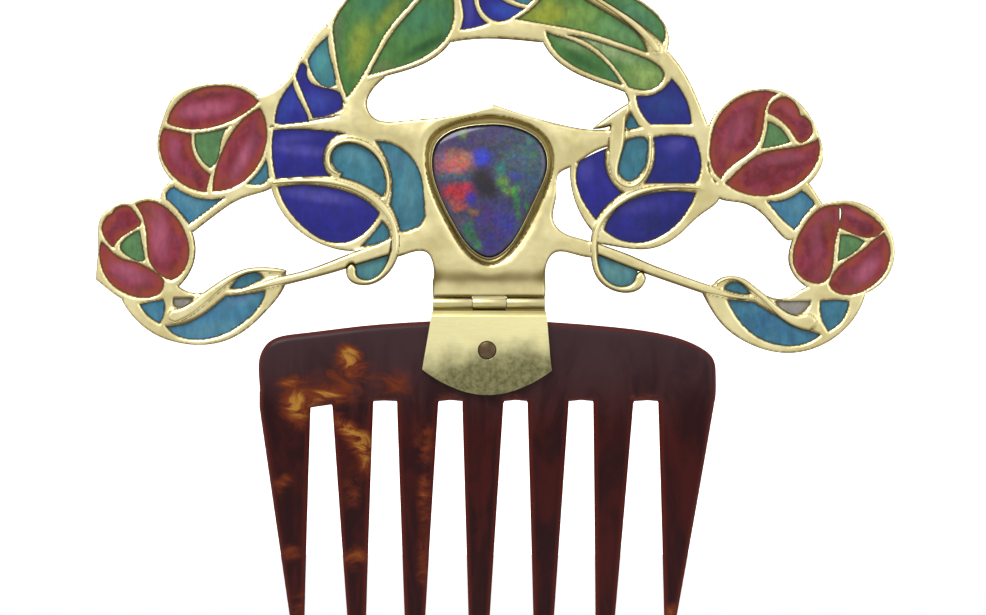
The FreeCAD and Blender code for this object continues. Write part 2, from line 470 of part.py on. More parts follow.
def cell_fill(cell, taken):
    """The enamel in a cell, clear of the ground that is already taken."""
    fill = prism(cell, ENAMEL_FRONT, ENAMEL_BACK)
    return fill.cut(taken) if taken else fill


def rosebud_motif(bud, name):
    """A rosebud in the same form as the other motifs."""
    cells = {f"{name}_rosebud_petals": bud["petals"], f"{name}_rosebud_heart": [bud["heart"]]}
    return {"outline": bud["rim"], "cells": cells}


def motifs():
    """Every openwork motif. An earlier motif keeps its whole outline, and a later one takes what is left."""
    found = {f"{name}_rosebud_rim": rosebud_motif(bud, name) for name, bud in ROSEBUDS.items()}
    found.update({f"{name}_frame": leaf for name, leaf in LEAVES.items()})
    found["opal_plate"] = {"outline": PLATE, "cells": {}}
    found.update({f"{name}_frame": lobe for name, lobe in LOBES.items()})
    found["hoop_frame"] = HOOP
    found.update({f"{name}_frame": branch for name, branch in BRANCHES.items()})
    found.update({f"{name}_frame": crescent for name, crescent in CRESCENTS.items()})
    return found


def openwork():
    """The gold of each motif and the enamel of its cells, as node name to shape, and all the ground taken."""
    parts, taken = {}, []
    for name, motif in motifs().items():
        gold = prism(motif["outline"], WEB_FRONT, WEB_BACK)
        cells = [cell for group in motif["cells"].values() for cell in group]
        holes = taken + [prism(cell, WEB_FRONT - CLEAR, WEB_BACK + CLEAR) for cell in cells]
        for node, group in motif["cells"].items():
            fill = parts[node].Solids if node in parts else []
            parts[node] = Part.makeCompound(fill + [cell_fill(cell, taken) for cell in group])
        parts[name] = gold.cut(holes) if holes else gold
        taken = taken + [gold]
    return parts, taken


def opal_setting(parts):
    """The plate's aperture, the collet in it, the seat that closes its back and the stone."""
    zone = box((CREST_LEFT, PLATE_FRONT, TAB_TOP), (CREST_RIGHT, WEB_FRONT, HOOP_TOP))
    plate = joined([parts["opal_plate"], prism(PLATE, PLATE_FRONT, WEB_FRONT).common(zone)])
    parts["opal_plate"] = plate.cut(prism(APERTURE, PLATE_FRONT - CLEAR, WEB_BACK + CLEAR))
    rim = []
    for x, z in OPAL[0]:
        reach = math.hypot(x - OPAL_X, z - OPAL_Z)
        rim.append((x + COLLET_WALL * (x - OPAL_X) / reach, z + COLLET_WALL * (z - OPAL_Z) / reach))
    collet = prism([rim], COLLET_FRONT, OPAL_BASE)
    parts["opal_collet"] = collet.cut(prism(OPAL, COLLET_FRONT - CLEAR, OPAL_BASE + CLEAR))
    parts["opal_seat"] = prism(APERTURE, OPAL_BASE, WEB_BACK)
    centre = at(OPAL_X, OPAL_TOP + OPAL_DOME_RADIUS, OPAL_Z)
    parts["opal"] = prism(OPAL, OPAL_TOP - CLEAR, OPAL_BASE).common(Part.makeSphere(OPAL_DOME_RADIUS, centre))


def overlaid_wires(parts, taken):
    """Each wire lies on the motifs and under earlier wires, and fills the sheet's depth in the open."""
    cells = [prism(cell, WEB_FRONT, WEB_BACK) for cell in SCROLL_CELLS]
    laid = []
    for name, points in WIRES.items():
        runs = ribbon_runs(points)
        crest, foot = prism(runs, WIRE_FRONT, WEB_FRONT), prism(runs, WEB_FRONT, WEB_BACK)
        if name == "right_loop_wire":
            crest = joined([crest, prism(HOOK_FLAP, WIRE_FRONT, WEB_FRONT)])
            foot = joined([foot, prism(HOOK_FLAP, WEB_FRONT, WEB_BACK)])
        shown = max((crest.cut(laid) if laid else crest).Solids, key=lambda solid: solid.Volume)
        parts[name] = joined([shown] + sound(foot.cut(taken + cells + laid)))
        laid += [crest, foot]
    parts["scroll_enamel"] = Part.makeCompound([cell_fill(cell, taken) for cell in SCROLL_CELLS])


def knuckle(low, high, bore, tongue_low, tongue_high):
    """A hinge knuckle along X with the tongue that joins it to its leaf."""
    tube = rod(at(low, 0, HINGE_Z), at(high, 0, HINGE_Z), KNUCKLE_RADIUS)
    tongue = box((low, -KNUCKLE_WEB, tongue_low), (high, KNUCKLE_WEB, tongue_high))
    hole = rod(at(low - CLEAR, 0, HINGE_Z), at(high + CLEAR, 0, HINGE_Z), bore)
    return joined([tube, tongue]).cut(hole)


def hinge(parts):
    """Three knuckles on a pin, and the lip that closes the tab's foot behind the outer two."""
    low, high = TAB_KNUCKLE
    half = HINGE_HALF_WIDTH
    parts["ornament_knuckle"] = knuckle(low, high, RUNNING_BORE, HINGE_Z + PIN_RADIUS, TAB_FOOT)
    for name, start, end in (("left", -half, low - KNUCKLE_GAP), ("right", high + KNUCKLE_GAP, half)):
        parts[f"{name}_saddle_knuckle"] = knuckle(start, end, FIXED_BORE, SADDLE_TOP, HINGE_Z - PIN_RADIUS)
    parts["hinge_pin"] = rod(at(-half, 0, HINGE_Z), at(half, 0, HINGE_Z), PIN_RADIUS)
    barrel = rod(at(-half - CLEAR, 0, HINGE_Z), at(half + CLEAR, 0, HINGE_Z), KNUCKLE_RADIUS + LIP_GAP)
    spans = ((-half, low), (high, half))
    lips = [box((start, LIP_FRONT, HINGE_Z), (end, WEB_BACK, TAB_FOOT)).cut(barrel) for start, end in spans]
    parts["opal_plate"] = joined([parts["opal_plate"]] + lips)


def bend(z):
    """How far back the comb's mid-surface lies at height z."""
    return 0.0 if z >= BEND_Z else (BEND_Z - z) ** 2 / (2 * BEND_RADIUS)


def half_thickness(z):
    """Half the comb's thickness at height z."""
    share = min(max((BEND_Z - z) / (BEND_Z - TIP_Z), 0.0), 1.0)
    return SPINE_HALF + (TIP_HALF - SPINE_HALF) * share


def tooth(left, right, left_drift, right_drift, tip):
    """The front outline of one tooth, from inside the spine to its rounded tip."""
    def edge(root, drift, z):
        return root - drift * z / TOOTH_DROP, z

    low, mid = tip + TIP_ROUND, tip + TIP_TAPER
    right_low, left_low = edge(right, right_drift, low), edge(left, left_drift, low)
    tip_x = (edge(left, left_drift, tip)[0] + edge(right, right_drift, tip)[0]) / 2
    return [
        [(right, TOOTH_OVERLAP)],
        [(right, 0.0), edge(right, right_drift, mid), right_low],
        [right_low, (tip_x, tip), left_low],
        [left_low, edge(left, left_drift, mid)],
        [(left, -1.0)], [(left, TOOTH_OVERLAP)],
    ]


def comb(parts):
    """Spine and teeth cut from one sheet, with the teeth thinned and bent back."""
    front, back = -SPINE_HALF - CLEAR, bend(TIP_Z) + SPINE_HALF + CLEAR
    outlines = [SPINE]
    for number, measures in enumerate(TEETH):
        outer = number in (0, len(TEETH) - 1)
        outlines.append(tooth(*measures, OUTER_TIP_Z if outer else TIP_Z))
    blank = joined([prism(runs, front, back) for runs in outlines])
    reach = blank.BoundBox.XMin - CLEAR
    sides = []
    for side in (-1, 1):
        curve = Part.BSplineCurve()
        curve.interpolate([at(reach, bend(z) + side * half_thickness(z), z) for z in PROFILE_HEIGHTS])
        sides.append(curve)
    top = Part.LineSegment(*(side.value(side.FirstParameter) for side in sides))
    bottom = Part.LineSegment(*(side.value(side.LastParameter) for side in sides))
    profile = Part.Wire([edge.toShape() for edge in (sides[0], bottom, sides[1], top)])
    sheet = Part.Face(profile).extrude(at(-2 * reach, 0, 0))
    hole = rod(at(RIVET_X, front, RIVET_Z), at(RIVET_X, back, RIVET_Z), RIVET_RADIUS + RIVET_FIT)
    parts["tortoiseshell_comb"] = blank.common(sheet).cut(hole)


def saddle(parts):
    """The sheet folded over the spine: a shield in front, a shorter flap behind and the fold on top."""
    inner = SPINE_HALF + SADDLE_GAP
    outer = inner + SADDLE_SHEET
    floor, shoulder = SPINE_TOP + SADDLE_GAP, SADDLE_TOP - SADDLE_BEVEL
    half = [(outer - SADDLE_BEVEL, SADDLE_TOP), (outer, shoulder), (outer, 0), (inner, 0), (inner, floor)]
    corners = [at(-SADDLE_REACH, y, z) for y, z in half + [(-y, z) for y, z in reversed(half)]]
    sheet = Part.Face(Part.makePolygon(corners + corners[:1])).extrude(at(2 * SADDLE_REACH, 0, 0))
    outline = prism(SADDLE_FLAP, -outer - CLEAR, 0).fuse(prism(SADDLE_REAR, 0, outer + CLEAR))
    crown = -outer - HEAD_RISE
    front, middle, back = (at(RIVET_X, y, RIVET_Z) for y in (crown - CLEAR, 0, outer + CLEAR))
    well = rod(front, middle, RIVET_HEAD + HEAD_FIT)
    sink = Part.makeCone(RIVET_HEAD + RIVET_SINK, RIVET_HEAD, RIVET_SINK, at(RIVET_X, -outer, RIVET_Z), at(0, 1, 0))
    hole = rod(middle, back, RIVET_RADIUS + RIVET_FIT)
    parts["comb_saddle"] = sheet.common(outline).cut([well, sink, hole])
    foot, neck, top = (at(RIVET_X, y, RIVET_Z) for y in (outer, -inner, crown))
    dome = Part.makeSphere(HEAD_DOME_RADIUS, at(RIVET_X, crown + HEAD_DOME_RADIUS, RIVET_Z))
    parts["saddle_rivet"] = joined([rod(foot, neck, RIVET_RADIUS), rod(neck, top, RIVET_HEAD).common(dome)])


def main():
    parts, taken = openwork()
    opal_setting(parts)
    overlaid_wires(parts, taken)
    hinge(parts)
    comb(parts)
    saddle(parts)
    os.makedirs(OUT, exist_ok=True)
    for old in os.listdir(OUT):
        os.remove(os.path.join(OUT, old))
    for name, shape in parts.items():
        solids = sound(shape)
        if not solids or not all(s.isValid() and s.Volume > 0 for s in solids):
            print("CHECK", name, [(s.isValid(), round(s.Volume, 3)) for s in solids])
        whole = solids[0] if len(solids) == 1 else Part.makeCompound(solids)
        whole.exportStep(os.path.join(OUT, f"{name}.step"))
        print(f"{name}: {len(solids)} solids, {sum(s.Volume for s in solids):.2f} mm3")


main()
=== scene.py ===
"""Looks for the hinged hair comb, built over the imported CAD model.

The ornament is a relief, so each gold or enamel piece is made the same way: its CAD node gives a front
outline, a distance field inside that outline gives the rounding of its edges, and the field is meshed as
a closed slab. All gold shares one height field, so cells that are soldered together meet without a seam.
Lengths are in millimetres until a mesh is made, which is in metres.
"""

import json
import math

import bmesh
import bpy
import numpy as np
from mathutils import Matrix, Vector


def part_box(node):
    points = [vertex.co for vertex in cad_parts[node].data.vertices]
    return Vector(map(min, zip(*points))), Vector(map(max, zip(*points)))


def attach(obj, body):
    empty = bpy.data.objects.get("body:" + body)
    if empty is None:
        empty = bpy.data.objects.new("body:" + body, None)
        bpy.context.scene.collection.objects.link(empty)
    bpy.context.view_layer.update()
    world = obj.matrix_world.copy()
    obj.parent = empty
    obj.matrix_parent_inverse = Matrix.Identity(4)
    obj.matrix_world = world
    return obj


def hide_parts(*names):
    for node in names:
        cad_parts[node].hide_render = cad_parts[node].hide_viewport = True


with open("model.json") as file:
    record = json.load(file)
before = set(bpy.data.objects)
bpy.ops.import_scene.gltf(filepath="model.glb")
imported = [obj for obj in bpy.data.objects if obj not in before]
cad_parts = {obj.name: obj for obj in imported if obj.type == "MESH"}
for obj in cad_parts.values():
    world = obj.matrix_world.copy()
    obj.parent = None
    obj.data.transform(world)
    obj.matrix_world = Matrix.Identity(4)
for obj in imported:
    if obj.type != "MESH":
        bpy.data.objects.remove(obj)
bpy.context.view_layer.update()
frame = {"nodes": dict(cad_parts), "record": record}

MM = 0.001

CELL = 0.15                  # spacing of the relief's grid
FINE_CELL = 0.11             # the same for the opal
COMB_CELL = 0.28             # the same for the comb
MASK_CELL = 0.05             # spacing of the grid that says where gold is
SEAM_PROBE = 0.09            # how far to each side of an edge gold is looked for
REACH = 4.0                  # farthest distance that a field measures
GLASS_SHARE = 0.52           # how much of its seen light glass has as base colour; the rest is shine

SLOTS = {part["node"]: part["material_slot"] for part in frame["record"]["subparts"]}
BODY_OF = {node: body for body, nodes in frame["record"]["behaviour"]["bodies"].items() for node in nodes}
WIRES = [node for node in SLOTS if node.endswith(("_wire", "_stem", "_midrib"))]
HARDWARE = ["comb_saddle", "left_saddle_knuckle", "right_saddle_knuckle", "ornament_knuckle", "hinge_pin"]
ENAMELS = [node for node in SLOTS if SLOTS[node].startswith("enamel")]
FRAMES = [node for node in SLOTS if SLOTS[node] == "gold" and node not in WIRES + HARDWARE
          and node not in ("opal_collet", "opal_seat")]


# ---------------------------------------------------------------- fields on a grid

class Window:
    """A rectangle of a grid anchored at the origin, so that pieces on the same spacing share points."""

    def __init__(self, low, high, cell):
        self.cell = cell
        self.i, self.j = (int(math.floor(v / cell)) for v in low)
        self.nx, self.nz = (int(math.ceil(h / cell)) - k + 1 for h, k in zip(high, (self.i, self.j)))
        self.x = (self.i + np.arange(self.nx)) * cell
        self.z = (self.j + np.arange(self.nz)) * cell

    def around(self, node, margin):
        """This grid's rectangle round a node."""
        low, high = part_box(node)
        low = (low.x / MM - margin, low.z / MM - margin)
        return Window(low, (high.x / MM + margin, high.z / MM + margin), self.cell)

    def cut(self, field, other):
        """The part of this window's field that lies in another window of the same grid."""
        j, i = other.j - self.j, other.i - self.i
        return field[j:j + other.nz, i:i + other.nx]

    def sample(self, field, x, z):
        """A field's value at any points, between its grid points."""
        u = np.clip(x / self.cell - self.i, 0, self.nx - 1.001)
        v = np.clip(z / self.cell - self.j, 0, self.nz - 1.001)
        i, j = u.astype(int), v.astype(int)
        u, v = u - i, v - j
        low = field[j, i] * (1 - u) + field[j, i + 1] * u
        high = field[j + 1, i] * (1 - u) + field[j + 1, i + 1] * u
        return low * (1 - v) + high * v


def front_faces(node):
    """Vertex positions in millimetres and the faces that look to the front."""
    mesh = frame["nodes"][node].data
    places = np.empty(len(mesh.vertices) * 3)
    mesh.vertices.foreach_get("co", places)
    faces = [tuple(face.vertices) for face in mesh.polygons if face.normal.y < -0.9]
    return places.reshape(-1, 3) / MM, faces


def outline(node):
    """The front outline of a node as (x, z) segments: the edges that only one front face has."""
    places, faces = front_faces(node)
    keys = [tuple(p) for p in np.round(places[:, [0, 2]], 3)]
    seen = {}
    for face in faces:
        ring = [keys[v] for v in face]
        for a, b in zip(ring, ring[1:] + ring[:1]):
            edge = (min(a, b), max(a, b))
            seen[edge] = seen.get(edge, 0) + 1
    return np.array([edge for edge, count in seen.items() if count % 2 and edge[0] != edge[1]])


def inside(segments, win):
    """Where the window's points are inside closed outlines."""
    flips = np.zeros((win.nz, win.nx + 1), dtype=int)
    for (ax, az), (bx, bz) in segments:
        low, high = sorted((az, bz))
        rows = np.arange(math.ceil(low / win.cell), math.ceil(high / win.cell))
        if not len(rows):
            continue
        x = ax + (bx - ax) * (rows * win.cell - az) / (bz - az)
        columns = np.clip(np.ceil(x / win.cell).astype(int) - win.i, 0, win.nx)
        rows = rows - win.j
        good = (rows >= 0) & (rows < win.nz)
        np.add.at(flips, (rows[good], columns[good]), 1)
    return np.cumsum(flips, axis=1)[:, :-1] % 2 == 1


def distance(segments, win, reach=REACH):
    """Distance from each of the window's points to the nearest segment, no more than reach."""
    field = np.full((win.nz, win.nx), reach)
    for a, b in segments:
        low, high = np.minimum(a, b) - reach, np.maximum(a, b) + reach
        i, j = max(int(low[0] / win.cell) - win.i, 0), max(int(low[1] / win.cell) - win.j, 0)
        m, n = int(high[0] / win.cell) - win.i + 1, int(high[1] / win.cell) - win.j + 1
        part = field[j:max(n, 0), i:max(m, 0)]
        if not part.size:
            continue
        dx = win.x[i:max(m, 0)][None, :] - a[0]
        dz = win.z[j:max(n, 0)][:, None] - a[1]
        run = b - a
        t = np.clip((dx * run[0] + dz * run[1]) / (run @ run), 0, 1)
        np.minimum(part, np.hypot(dx - t * run[0], dz - t * run[1]), out=part)
    return field


def signed(segments, win, reach=REACH):
    """Distance to closed outlines, positive inside them."""
    near = distance(segments, win, reach)
    return np.where(inside(segments, win), near, -near)


def blur(field, width):
    """A Gaussian blur, with width in grid points."""
    fz = np.fft.fftfreq(field.shape[0])[:, None]
    fx = np.fft.rfftfreq(field.shape[1])[None, :]
    weight = np.exp(-2 * (math.pi * width) ** 2 * (fx ** 2 + fz ** 2))
    return np.fft.irfft2(np.fft.rfft2(field) * weight, s=field.shape)


def blur_in(field, mask, width):
    """A blur that takes nothing from outside the mask."""
    cover = blur(mask.astype(float), width)
    return np.where(cover > 0.02, blur(field * mask, width) / np.maximum(cover, 0.02), field)


def dome(share):
    """A quarter circle: 0 at an edge, 1 from a share of 1 on."""
    return np.sqrt(1 - (1 - np.clip(share, 0, 1)) ** 2)


def ripple(x, z, size):
    """Smooth unevenness between -1 and 1, like hammered or fired work, on a scale of size."""
    u, v = x / size, z / size
    wave = np.sin(1.7 * u + 1.3 * np.sin(0.9 * v + 0.4)) + np.sin(1.4 * v - 1.1 * np.sin(1.2 * u + 2.0))
    wave = wave + 0.6 * np.sin(2.6 * (u + v) + 1.5 * np.sin(1.7 * v))
    wave = wave + 0.5 * np.sin(3.1 * (u - v) + np.sin(2.2 * u))
    return wave / 3.1


# ---------------------------------------------------------------- slab meshes

def contour(field, win):
    """The window's cells cut along the field's zero line: points, polygons and the cut edges."""
    nx, count = win.nx, win.nx * win.nz
    within = field > 0
    full = within[:-1, :-1] & within[:-1, 1:] & within[1:, 1:] & within[1:, :-1]
    some = within[:-1, :-1] | within[:-1, 1:] | within[1:, 1:] | within[1:, :-1]
    rows, columns = np.nonzero(full)
    first = rows * nx + columns
    polygons = np.stack([first, first + 1, first + nx + 1, first + nx], axis=1).tolist()
    places, cuts = {}, []
    for j, i in zip(*np.nonzero(some & ~full)):
        corners = [(j, i), (j, i + 1), (j + 1, i + 1), (j + 1, i)]
        ring, leaving = [], {}
        for a, b in zip(corners, corners[1:] + corners[:1]):
            if within[a]:
                ring.append(a[0] * nx + a[1])
            if within[a] != within[b]:
                low, high = min(a, b), max(a, b)
                upright = high[0] > low[0]
                key = (2 if upright else 1) * count + low[0] * nx + low[1]
                if key not in places:
                    t = field[low] / (field[low] - field[high])
                    places[key] = (low[1] + (0 if upright else t), low[0] + (t if upright else 0))
                leaving[key] = within[a]
                ring.append(key)
        polygons.append([int(v) for v in ring])
        for a, b in zip(ring, ring[1:] + ring[:1]):
            if leaving.get(a) and leaving.get(b) is False:
                cuts.append((int(a), int(b)))
    used = np.unique(np.concatenate([np.array(p) for p in polygons]))
    points = np.empty((len(used), 2))
    for n, key in enumerate(used):
        u, v = places[key] if key >= count else (key % nx, key // nx)
        points[n] = (win.i + u) * win.cell, (win.j + v) * win.cell
    index = {int(key): n for n, key in enumerate(used)}
    return points, [[index[v] for v in p] for p in polygons], [(index[a], index[b]) for a, b in cuts]


def slab(name, field, win, front, back, free, tone=None, extras=None):
    """A closed piece between two depth fields, inside the zero line of field.

    free marks how far the piece's sides are seen: there its edge is shaded as rounded. tone gives the
    colour at (x, z, distance from the edge), and extras are more fields to keep on the points.
    """
    points, polygons, cuts = contour(field, win)
    x, z = points.T
    count = len(points)
    rim = np.zeros(count, dtype=bool)
    rim[[v for cut in cuts for v in cut]] = True
    showing = rim * win.sample(free, x, z)
    out_z, out_x = (-win.sample(g, x, z) for g in np.gradient(field, win.cell))
    long = np.maximum(np.hypot(out_x, out_z), 1e-6)
    out_x, out_z = out_x / long * showing, out_z / long * showing
    places, normals = [], []
    for depth, way in ((front, -1), (back, 1)):
        slope_z, slope_x = (win.sample(g, x, z) for g in np.gradient(depth, win.cell))
        places.append(np.stack([x, win.sample(depth, x, z), z], axis=1))
        lean = np.stack([-way * slope_x, np.full(count, float(way)), -way * slope_z], axis=1)
        lean /= np.linalg.norm(lean, axis=1)[:, None]
        lean = lean * np.where(showing > 0.5, 0.6, 1.0)[:, None] + np.stack([out_x, 0 * x, out_z], axis=1)
        normals.append(lean / np.linalg.norm(lean, axis=1)[:, None])
    faces = polygons + [[v + count for v in reversed(p)] for p in polygons]
    faces += [[b, a, a + count, b + count] for a, b in cuts]
    mesh = bpy.data.meshes.new(name)
    mesh.from_pydata((np.concatenate(places) * MM).tolist(), [], faces)
    mesh.update()
    mesh.polygons.foreach_set("use_smooth", [True] * len(mesh.polygons))
    mesh.normals_split_custom_set_from_vertices(np.concatenate(normals).tolist())
    edge = np.maximum(win.sample(field, x, z), 0)
    keep = {"edge": edge, **{key: win.sample(value, x, z) for key, value in (extras or {}).items()}}
    for key, value in keep.items():
        mesh.attributes.new(key, "FLOAT", "POINT").data.foreach_set("value", np.tile(value, 2))
    if tone is not None:
        colour = np.concatenate([tone(x, z, edge), np.ones((count, 1))], axis=1)
        colours = mesh.attributes.new("tone", "FLOAT_COLOR", "POINT").data
        colours.foreach_set("color", np.tile(colour, (2, 1)).ravel())
    piece = bpy.data.objects.new(name, mesh)
    bpy.context.collection.objects.link(piece)
    return piece


def place(piece, node, material):
    """Hand a finished piece to the frame in its node's stead."""
    piece.data.materials.clear()
    piece.data.materials.append(material)
    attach(piece, BODY_OF[node])
    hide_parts(node)


# ---------------------------------------------------------------- materials

def srgb(red, green, blue):
    """A colour seen on a screen, from 0 to 255, as light."""
    shares = [v / 255 for v in (red, green, blue)]
    return tuple(v / 12.92 if v <= 0.04 else ((v + 0.055) / 1.055) ** 2.4 for v in shares)


def glass(red, green, blue):
    """The base colour of glass that looks this colour in the studio's light."""
    return tuple(v * GLASS_SHARE for v in srgb(red, green, blue))


class Shader:
    """A material's node tree, with short calls for the nodes used here."""

    def __init__(self, name, **inputs):
        self.material = bpy.data.materials.new(name)
        self.material.use_nodes = True
        self.tree = self.material.node_tree
        self.surface = self.tree.nodes["Principled BSDF"]
        for key, value in inputs.items():
            socket = self.surface.inputs[key.replace("_", " ")]
            socket.default_value = (*value, 1.0) if isinstance(value, tuple) else value

    def node(self, kind, **settings):
        made = self.tree.nodes.new(kind)
        for key, value in settings.items():
            setattr(made, key, value)
        return made

    def link(self, source, target):
        self.tree.links.new(source, target)

    def feed(self, target, value):
        """Set a socket to a number or colour, or link it to another socket."""
        if isinstance(value, bpy.types.NodeSocket):
            self.link(value, target)
        elif isinstance(value, tuple):
            target.default_value = (*value, 1.0)
        else:
            target.default_value = value

    def attribute(self, name, output="Fac"):
        return self.node("ShaderNodeAttribute", attribute_name=name).outputs[output]

    def noise(self, size, detail=3.0, stretch=(1, 1, 1), roughness=0.55, distortion=0.0):
        """Noise with features of a size in millimetres."""
        coordinates = self.node("ShaderNodeTexCoord").outputs["Object"]
        mapping = self.node("ShaderNodeMapping")
        mapping.inputs["Scale"].default_value = [1 / (s * size * MM) for s in stretch]
        self.link(coordinates, mapping.inputs["Vector"])
        noise = self.node("ShaderNodeTexNoise")
        noise.inputs["Scale"].default_value = 1.0
        noise.inputs["Detail"].default_value = detail
        noise.inputs["Roughness"].default_value = roughness
        noise.inputs["Distortion"].default_value = distortion
        self.link(mapping.outputs["Vector"], noise.inputs["Vector"])
        return noise.outputs["Fac"]

    def span(self, value, low, high, to_low=0.0, to_high=1.0, smooth=True):
        """A value from low to high, as a value from to_low to to_high."""
        ranged = self.node("ShaderNodeMapRange", interpolation_type="SMOOTHSTEP" if smooth else "LINEAR")
        for index, v in enumerate((value, low, high, to_low, to_high)):
            self.feed(ranged.inputs[index], v)
        return ranged.outputs["Result"]

    def math(self, operation, a, b=0.0):
        made = self.node("ShaderNodeMath", operation=operation)
        self.feed(made.inputs[0], a)
        self.feed(made.inputs[1], b)
        return made.outputs["Value"]

    def mix(self, share, a, b, blend="MIX"):
        made = self.node("ShaderNodeMix", data_type="RGBA", blend_type=blend)
        self.feed(made.inputs["Factor"], share)
        colours = [s for s in made.inputs if s.type == "RGBA"]
        self.feed(colours[0], a)
        self.feed(colours[1], b)
        return [s for s in made.outputs if s.type == "RGBA"][0]

    def bump(self, height, depth):
        made = self.node("ShaderNodeBump")
        made.inputs["Distance"].default_value = depth * MM
        self.link(height, made.inputs["Height"])
        self.link(made.outputs["Normal"], self.surface.inputs["Normal"])


def gold_material(name="pale_gold"):
    """Worn pale yellow gold, with painted shade where it lies low and where it faces down, and browned
    along its borders by stain and painted shade.
    """
    look = Shader(name, Metallic=1.0)
    bright, dull = srgb(238, 226, 172), srgb(216, 202, 144)
    # low is the colour of painted shade in recesses and on faces that look down; the second colour browns
    # the borders, partly stain and partly painted shade.
    low, brown_stain_and_shade = srgb(104, 86, 40), srgb(112, 88, 48)
    colour = look.mix(look.span(look.noise(6.0, 4), 0.35, 0.7), bright, dull)
    # Painted shade: darker where the gold lies below its surroundings, in the tab's dish and in the cove.
    colour = look.mix(look.span(look.attribute("hollow_shade"), 0.03, 0.26, 0.0, 0.9), colour, low)
    # Browned along the borders of the gold: partly stain, partly painted shade.
    stain_and_shade = look.math("ADD", look.attribute("rim"), look.span(look.noise(0.5, 3), 0.25, 0.75, -0.06, 0.06))
    colour = look.mix(look.span(stain_and_shade, 0.0, 0.17, 0.8, 0.0), colour, brown_stain_and_shade)
    # Painted shade: faces that look down are darkened towards the shade colour.
    normal_for_painted_shade = look.node("ShaderNodeSeparateXYZ")
    look.link(look.node("ShaderNodeTexCoord").outputs["Normal"], normal_for_painted_shade.inputs["Vector"])
    colour = look.mix(look.span(normal_for_painted_shade.outputs["Z"], -0.6, 0.0, 0.8, 0.0), colour, low)
    look.link(colour, look.surface.inputs["Base Color"])
    look.link(look.span(look.noise(1.2, 5), 0.3, 0.7, 0.28, 0.40), look.surface.inputs["Roughness"])
    look.bump(look.noise(0.9, 4), 0.015)
    return look.material


def enamel_material(name, rim, streak, vein, glow=None):
    """Fused glass: the cell's tones with streaks, a glow where it thins and a darker rim along the wall."""
    look = Shader(name, Roughness=0.22, Specular_IOR_Level=0.35, Coat_Weight=0.08, Coat_Roughness=0.07)
    tone = look.attribute("tone", "Color")
    mottle = look.span(look.noise(2.2, 5, roughness=0.65, distortion=0.6), 0.35, 0.72)
    tone = look.mix(look.math("MULTIPLY", mottle, vein), tone, streak)
    cloud = look.span(look.noise(1.1, 4, stretch=(1, 1, 2.2)), 0.3, 0.75, 0.80, 1.16)
    shade = look.node("ShaderNodeCombineColor")
    for socket in shade.inputs:
        look.link(cloud, socket)
    tone = look.mix(1.0, tone, shade.outputs["Color"], "MULTIPLY")
    ragged = look.math("ADD", look.attribute("edge"), look.span(look.noise(0.8, 3), 0.2, 0.8, -0.12, 0.12))
    if glow:
        broad = look.math("ADD", look.attribute("edge"), look.span(look.noise(3.0, 4), 0.3, 0.7, -0.7, 0.7))
        tone = look.mix(look.span(broad, 0.1, 1.5, 0.75, 0.0), tone, glow)
    tone = look.mix(look.span(ragged, 0.06, 0.42, 0.85, 0.0), tone, rim)
    look.link(tone, look.surface.inputs["Base Color"])
    look.bump(look.noise(0.7, 3), 0.03)
    return look.material


def opal_material():
    """Black opal: patches of fire, broken up by fine specks, under a polished dome."""
    look = Shader("black_opal", Roughness=0.16, Specular_IOR_Level=0.4, Coat_Weight=0.1,
                  Coat_Roughness=0.04)
    tone = look.attribute("tone", "Color")
    for size, low, high in ((0.5, 0.6, 1.42), (1.6, 0.78, 1.28)):
        shade = look.node("ShaderNodeCombineColor")
        for socket, seed in zip(shade.inputs, (1.0, 1.13, 1.29)):
            look.link(look.span(look.noise(size * seed, 4, roughness=0.7), 0.34, 0.68, low, high), socket)
        tone = look.mix(1.0, tone, shade.outputs["Color"], "MULTIPLY")
    tone = look.mix(look.span(look.attribute("edge"), 0.05, 0.7, 0.6, 0.0), tone, glass(30, 26, 34))
    look.link(tone, look.surface.inputs["Base Color"])
    return look.material


def tortoiseshell_material():
    """Dark shell with amber clouds, redder where it is thin at its edges, and with a painted sheen that
    grows towards its spine.
    """
    look = Shader("tortoiseshell_shell", Roughness=0.28, Specular_IOR_Level=0.1)
    dark, deep, red = srgb(34, 9, 11), srgb(54, 14, 11), srgb(82, 25, 17)
    rust, amber, painted_sheen = srgb(98, 40, 16), srgb(156, 108, 42), srgb(54, 37, 40)
    place_in = look.node("ShaderNodeSeparateXYZ")
    look.link(look.node("ShaderNodeTexCoord").outputs["Object"], place_in.inputs["Vector"])
    cloud = look.noise(10.0, 5, stretch=(0.5, 1, 1.4), roughness=0.6, distortion=1.0)
    colour = look.mix(look.span(cloud, 0.40, 0.66), dark, deep)
    # Painted sheen: the colour lightens towards the top of the comb.
    height = look.math("ADD", place_in.outputs["Z"], look.span(cloud, 0.3, 0.7, -3.0 * MM, 3.0 * MM))
    colour = look.mix(look.span(height, -5.0 * MM, 12.0 * MM, 0.0, 0.95), colour, painted_sheen)
    colour = look.mix(look.span(look.attribute("edge"), 0.1, 0.9, 0.8, 0.0), colour, red)
    torn = look.noise(3.4, 6, stretch=(1.5, 1, 0.8), roughness=0.62, distortion=1.8)
    torn = look.span(torn, 0.28, 0.68, 0.1, 1.5, smooth=False)
    amount = look.math("MULTIPLY", look.attribute("amber"), torn)
    colour = look.mix(look.span(amount, 0.06, 0.5, 0.0, 0.9), colour, rust)
    colour = look.mix(look.span(amount, 0.4, 1.15, 0.0, 0.95), colour, amber)
    look.link(colour, look.surface.inputs["Base Color"])
    look.bump(look.noise(3.0, 3), 0.015)
    return look.material


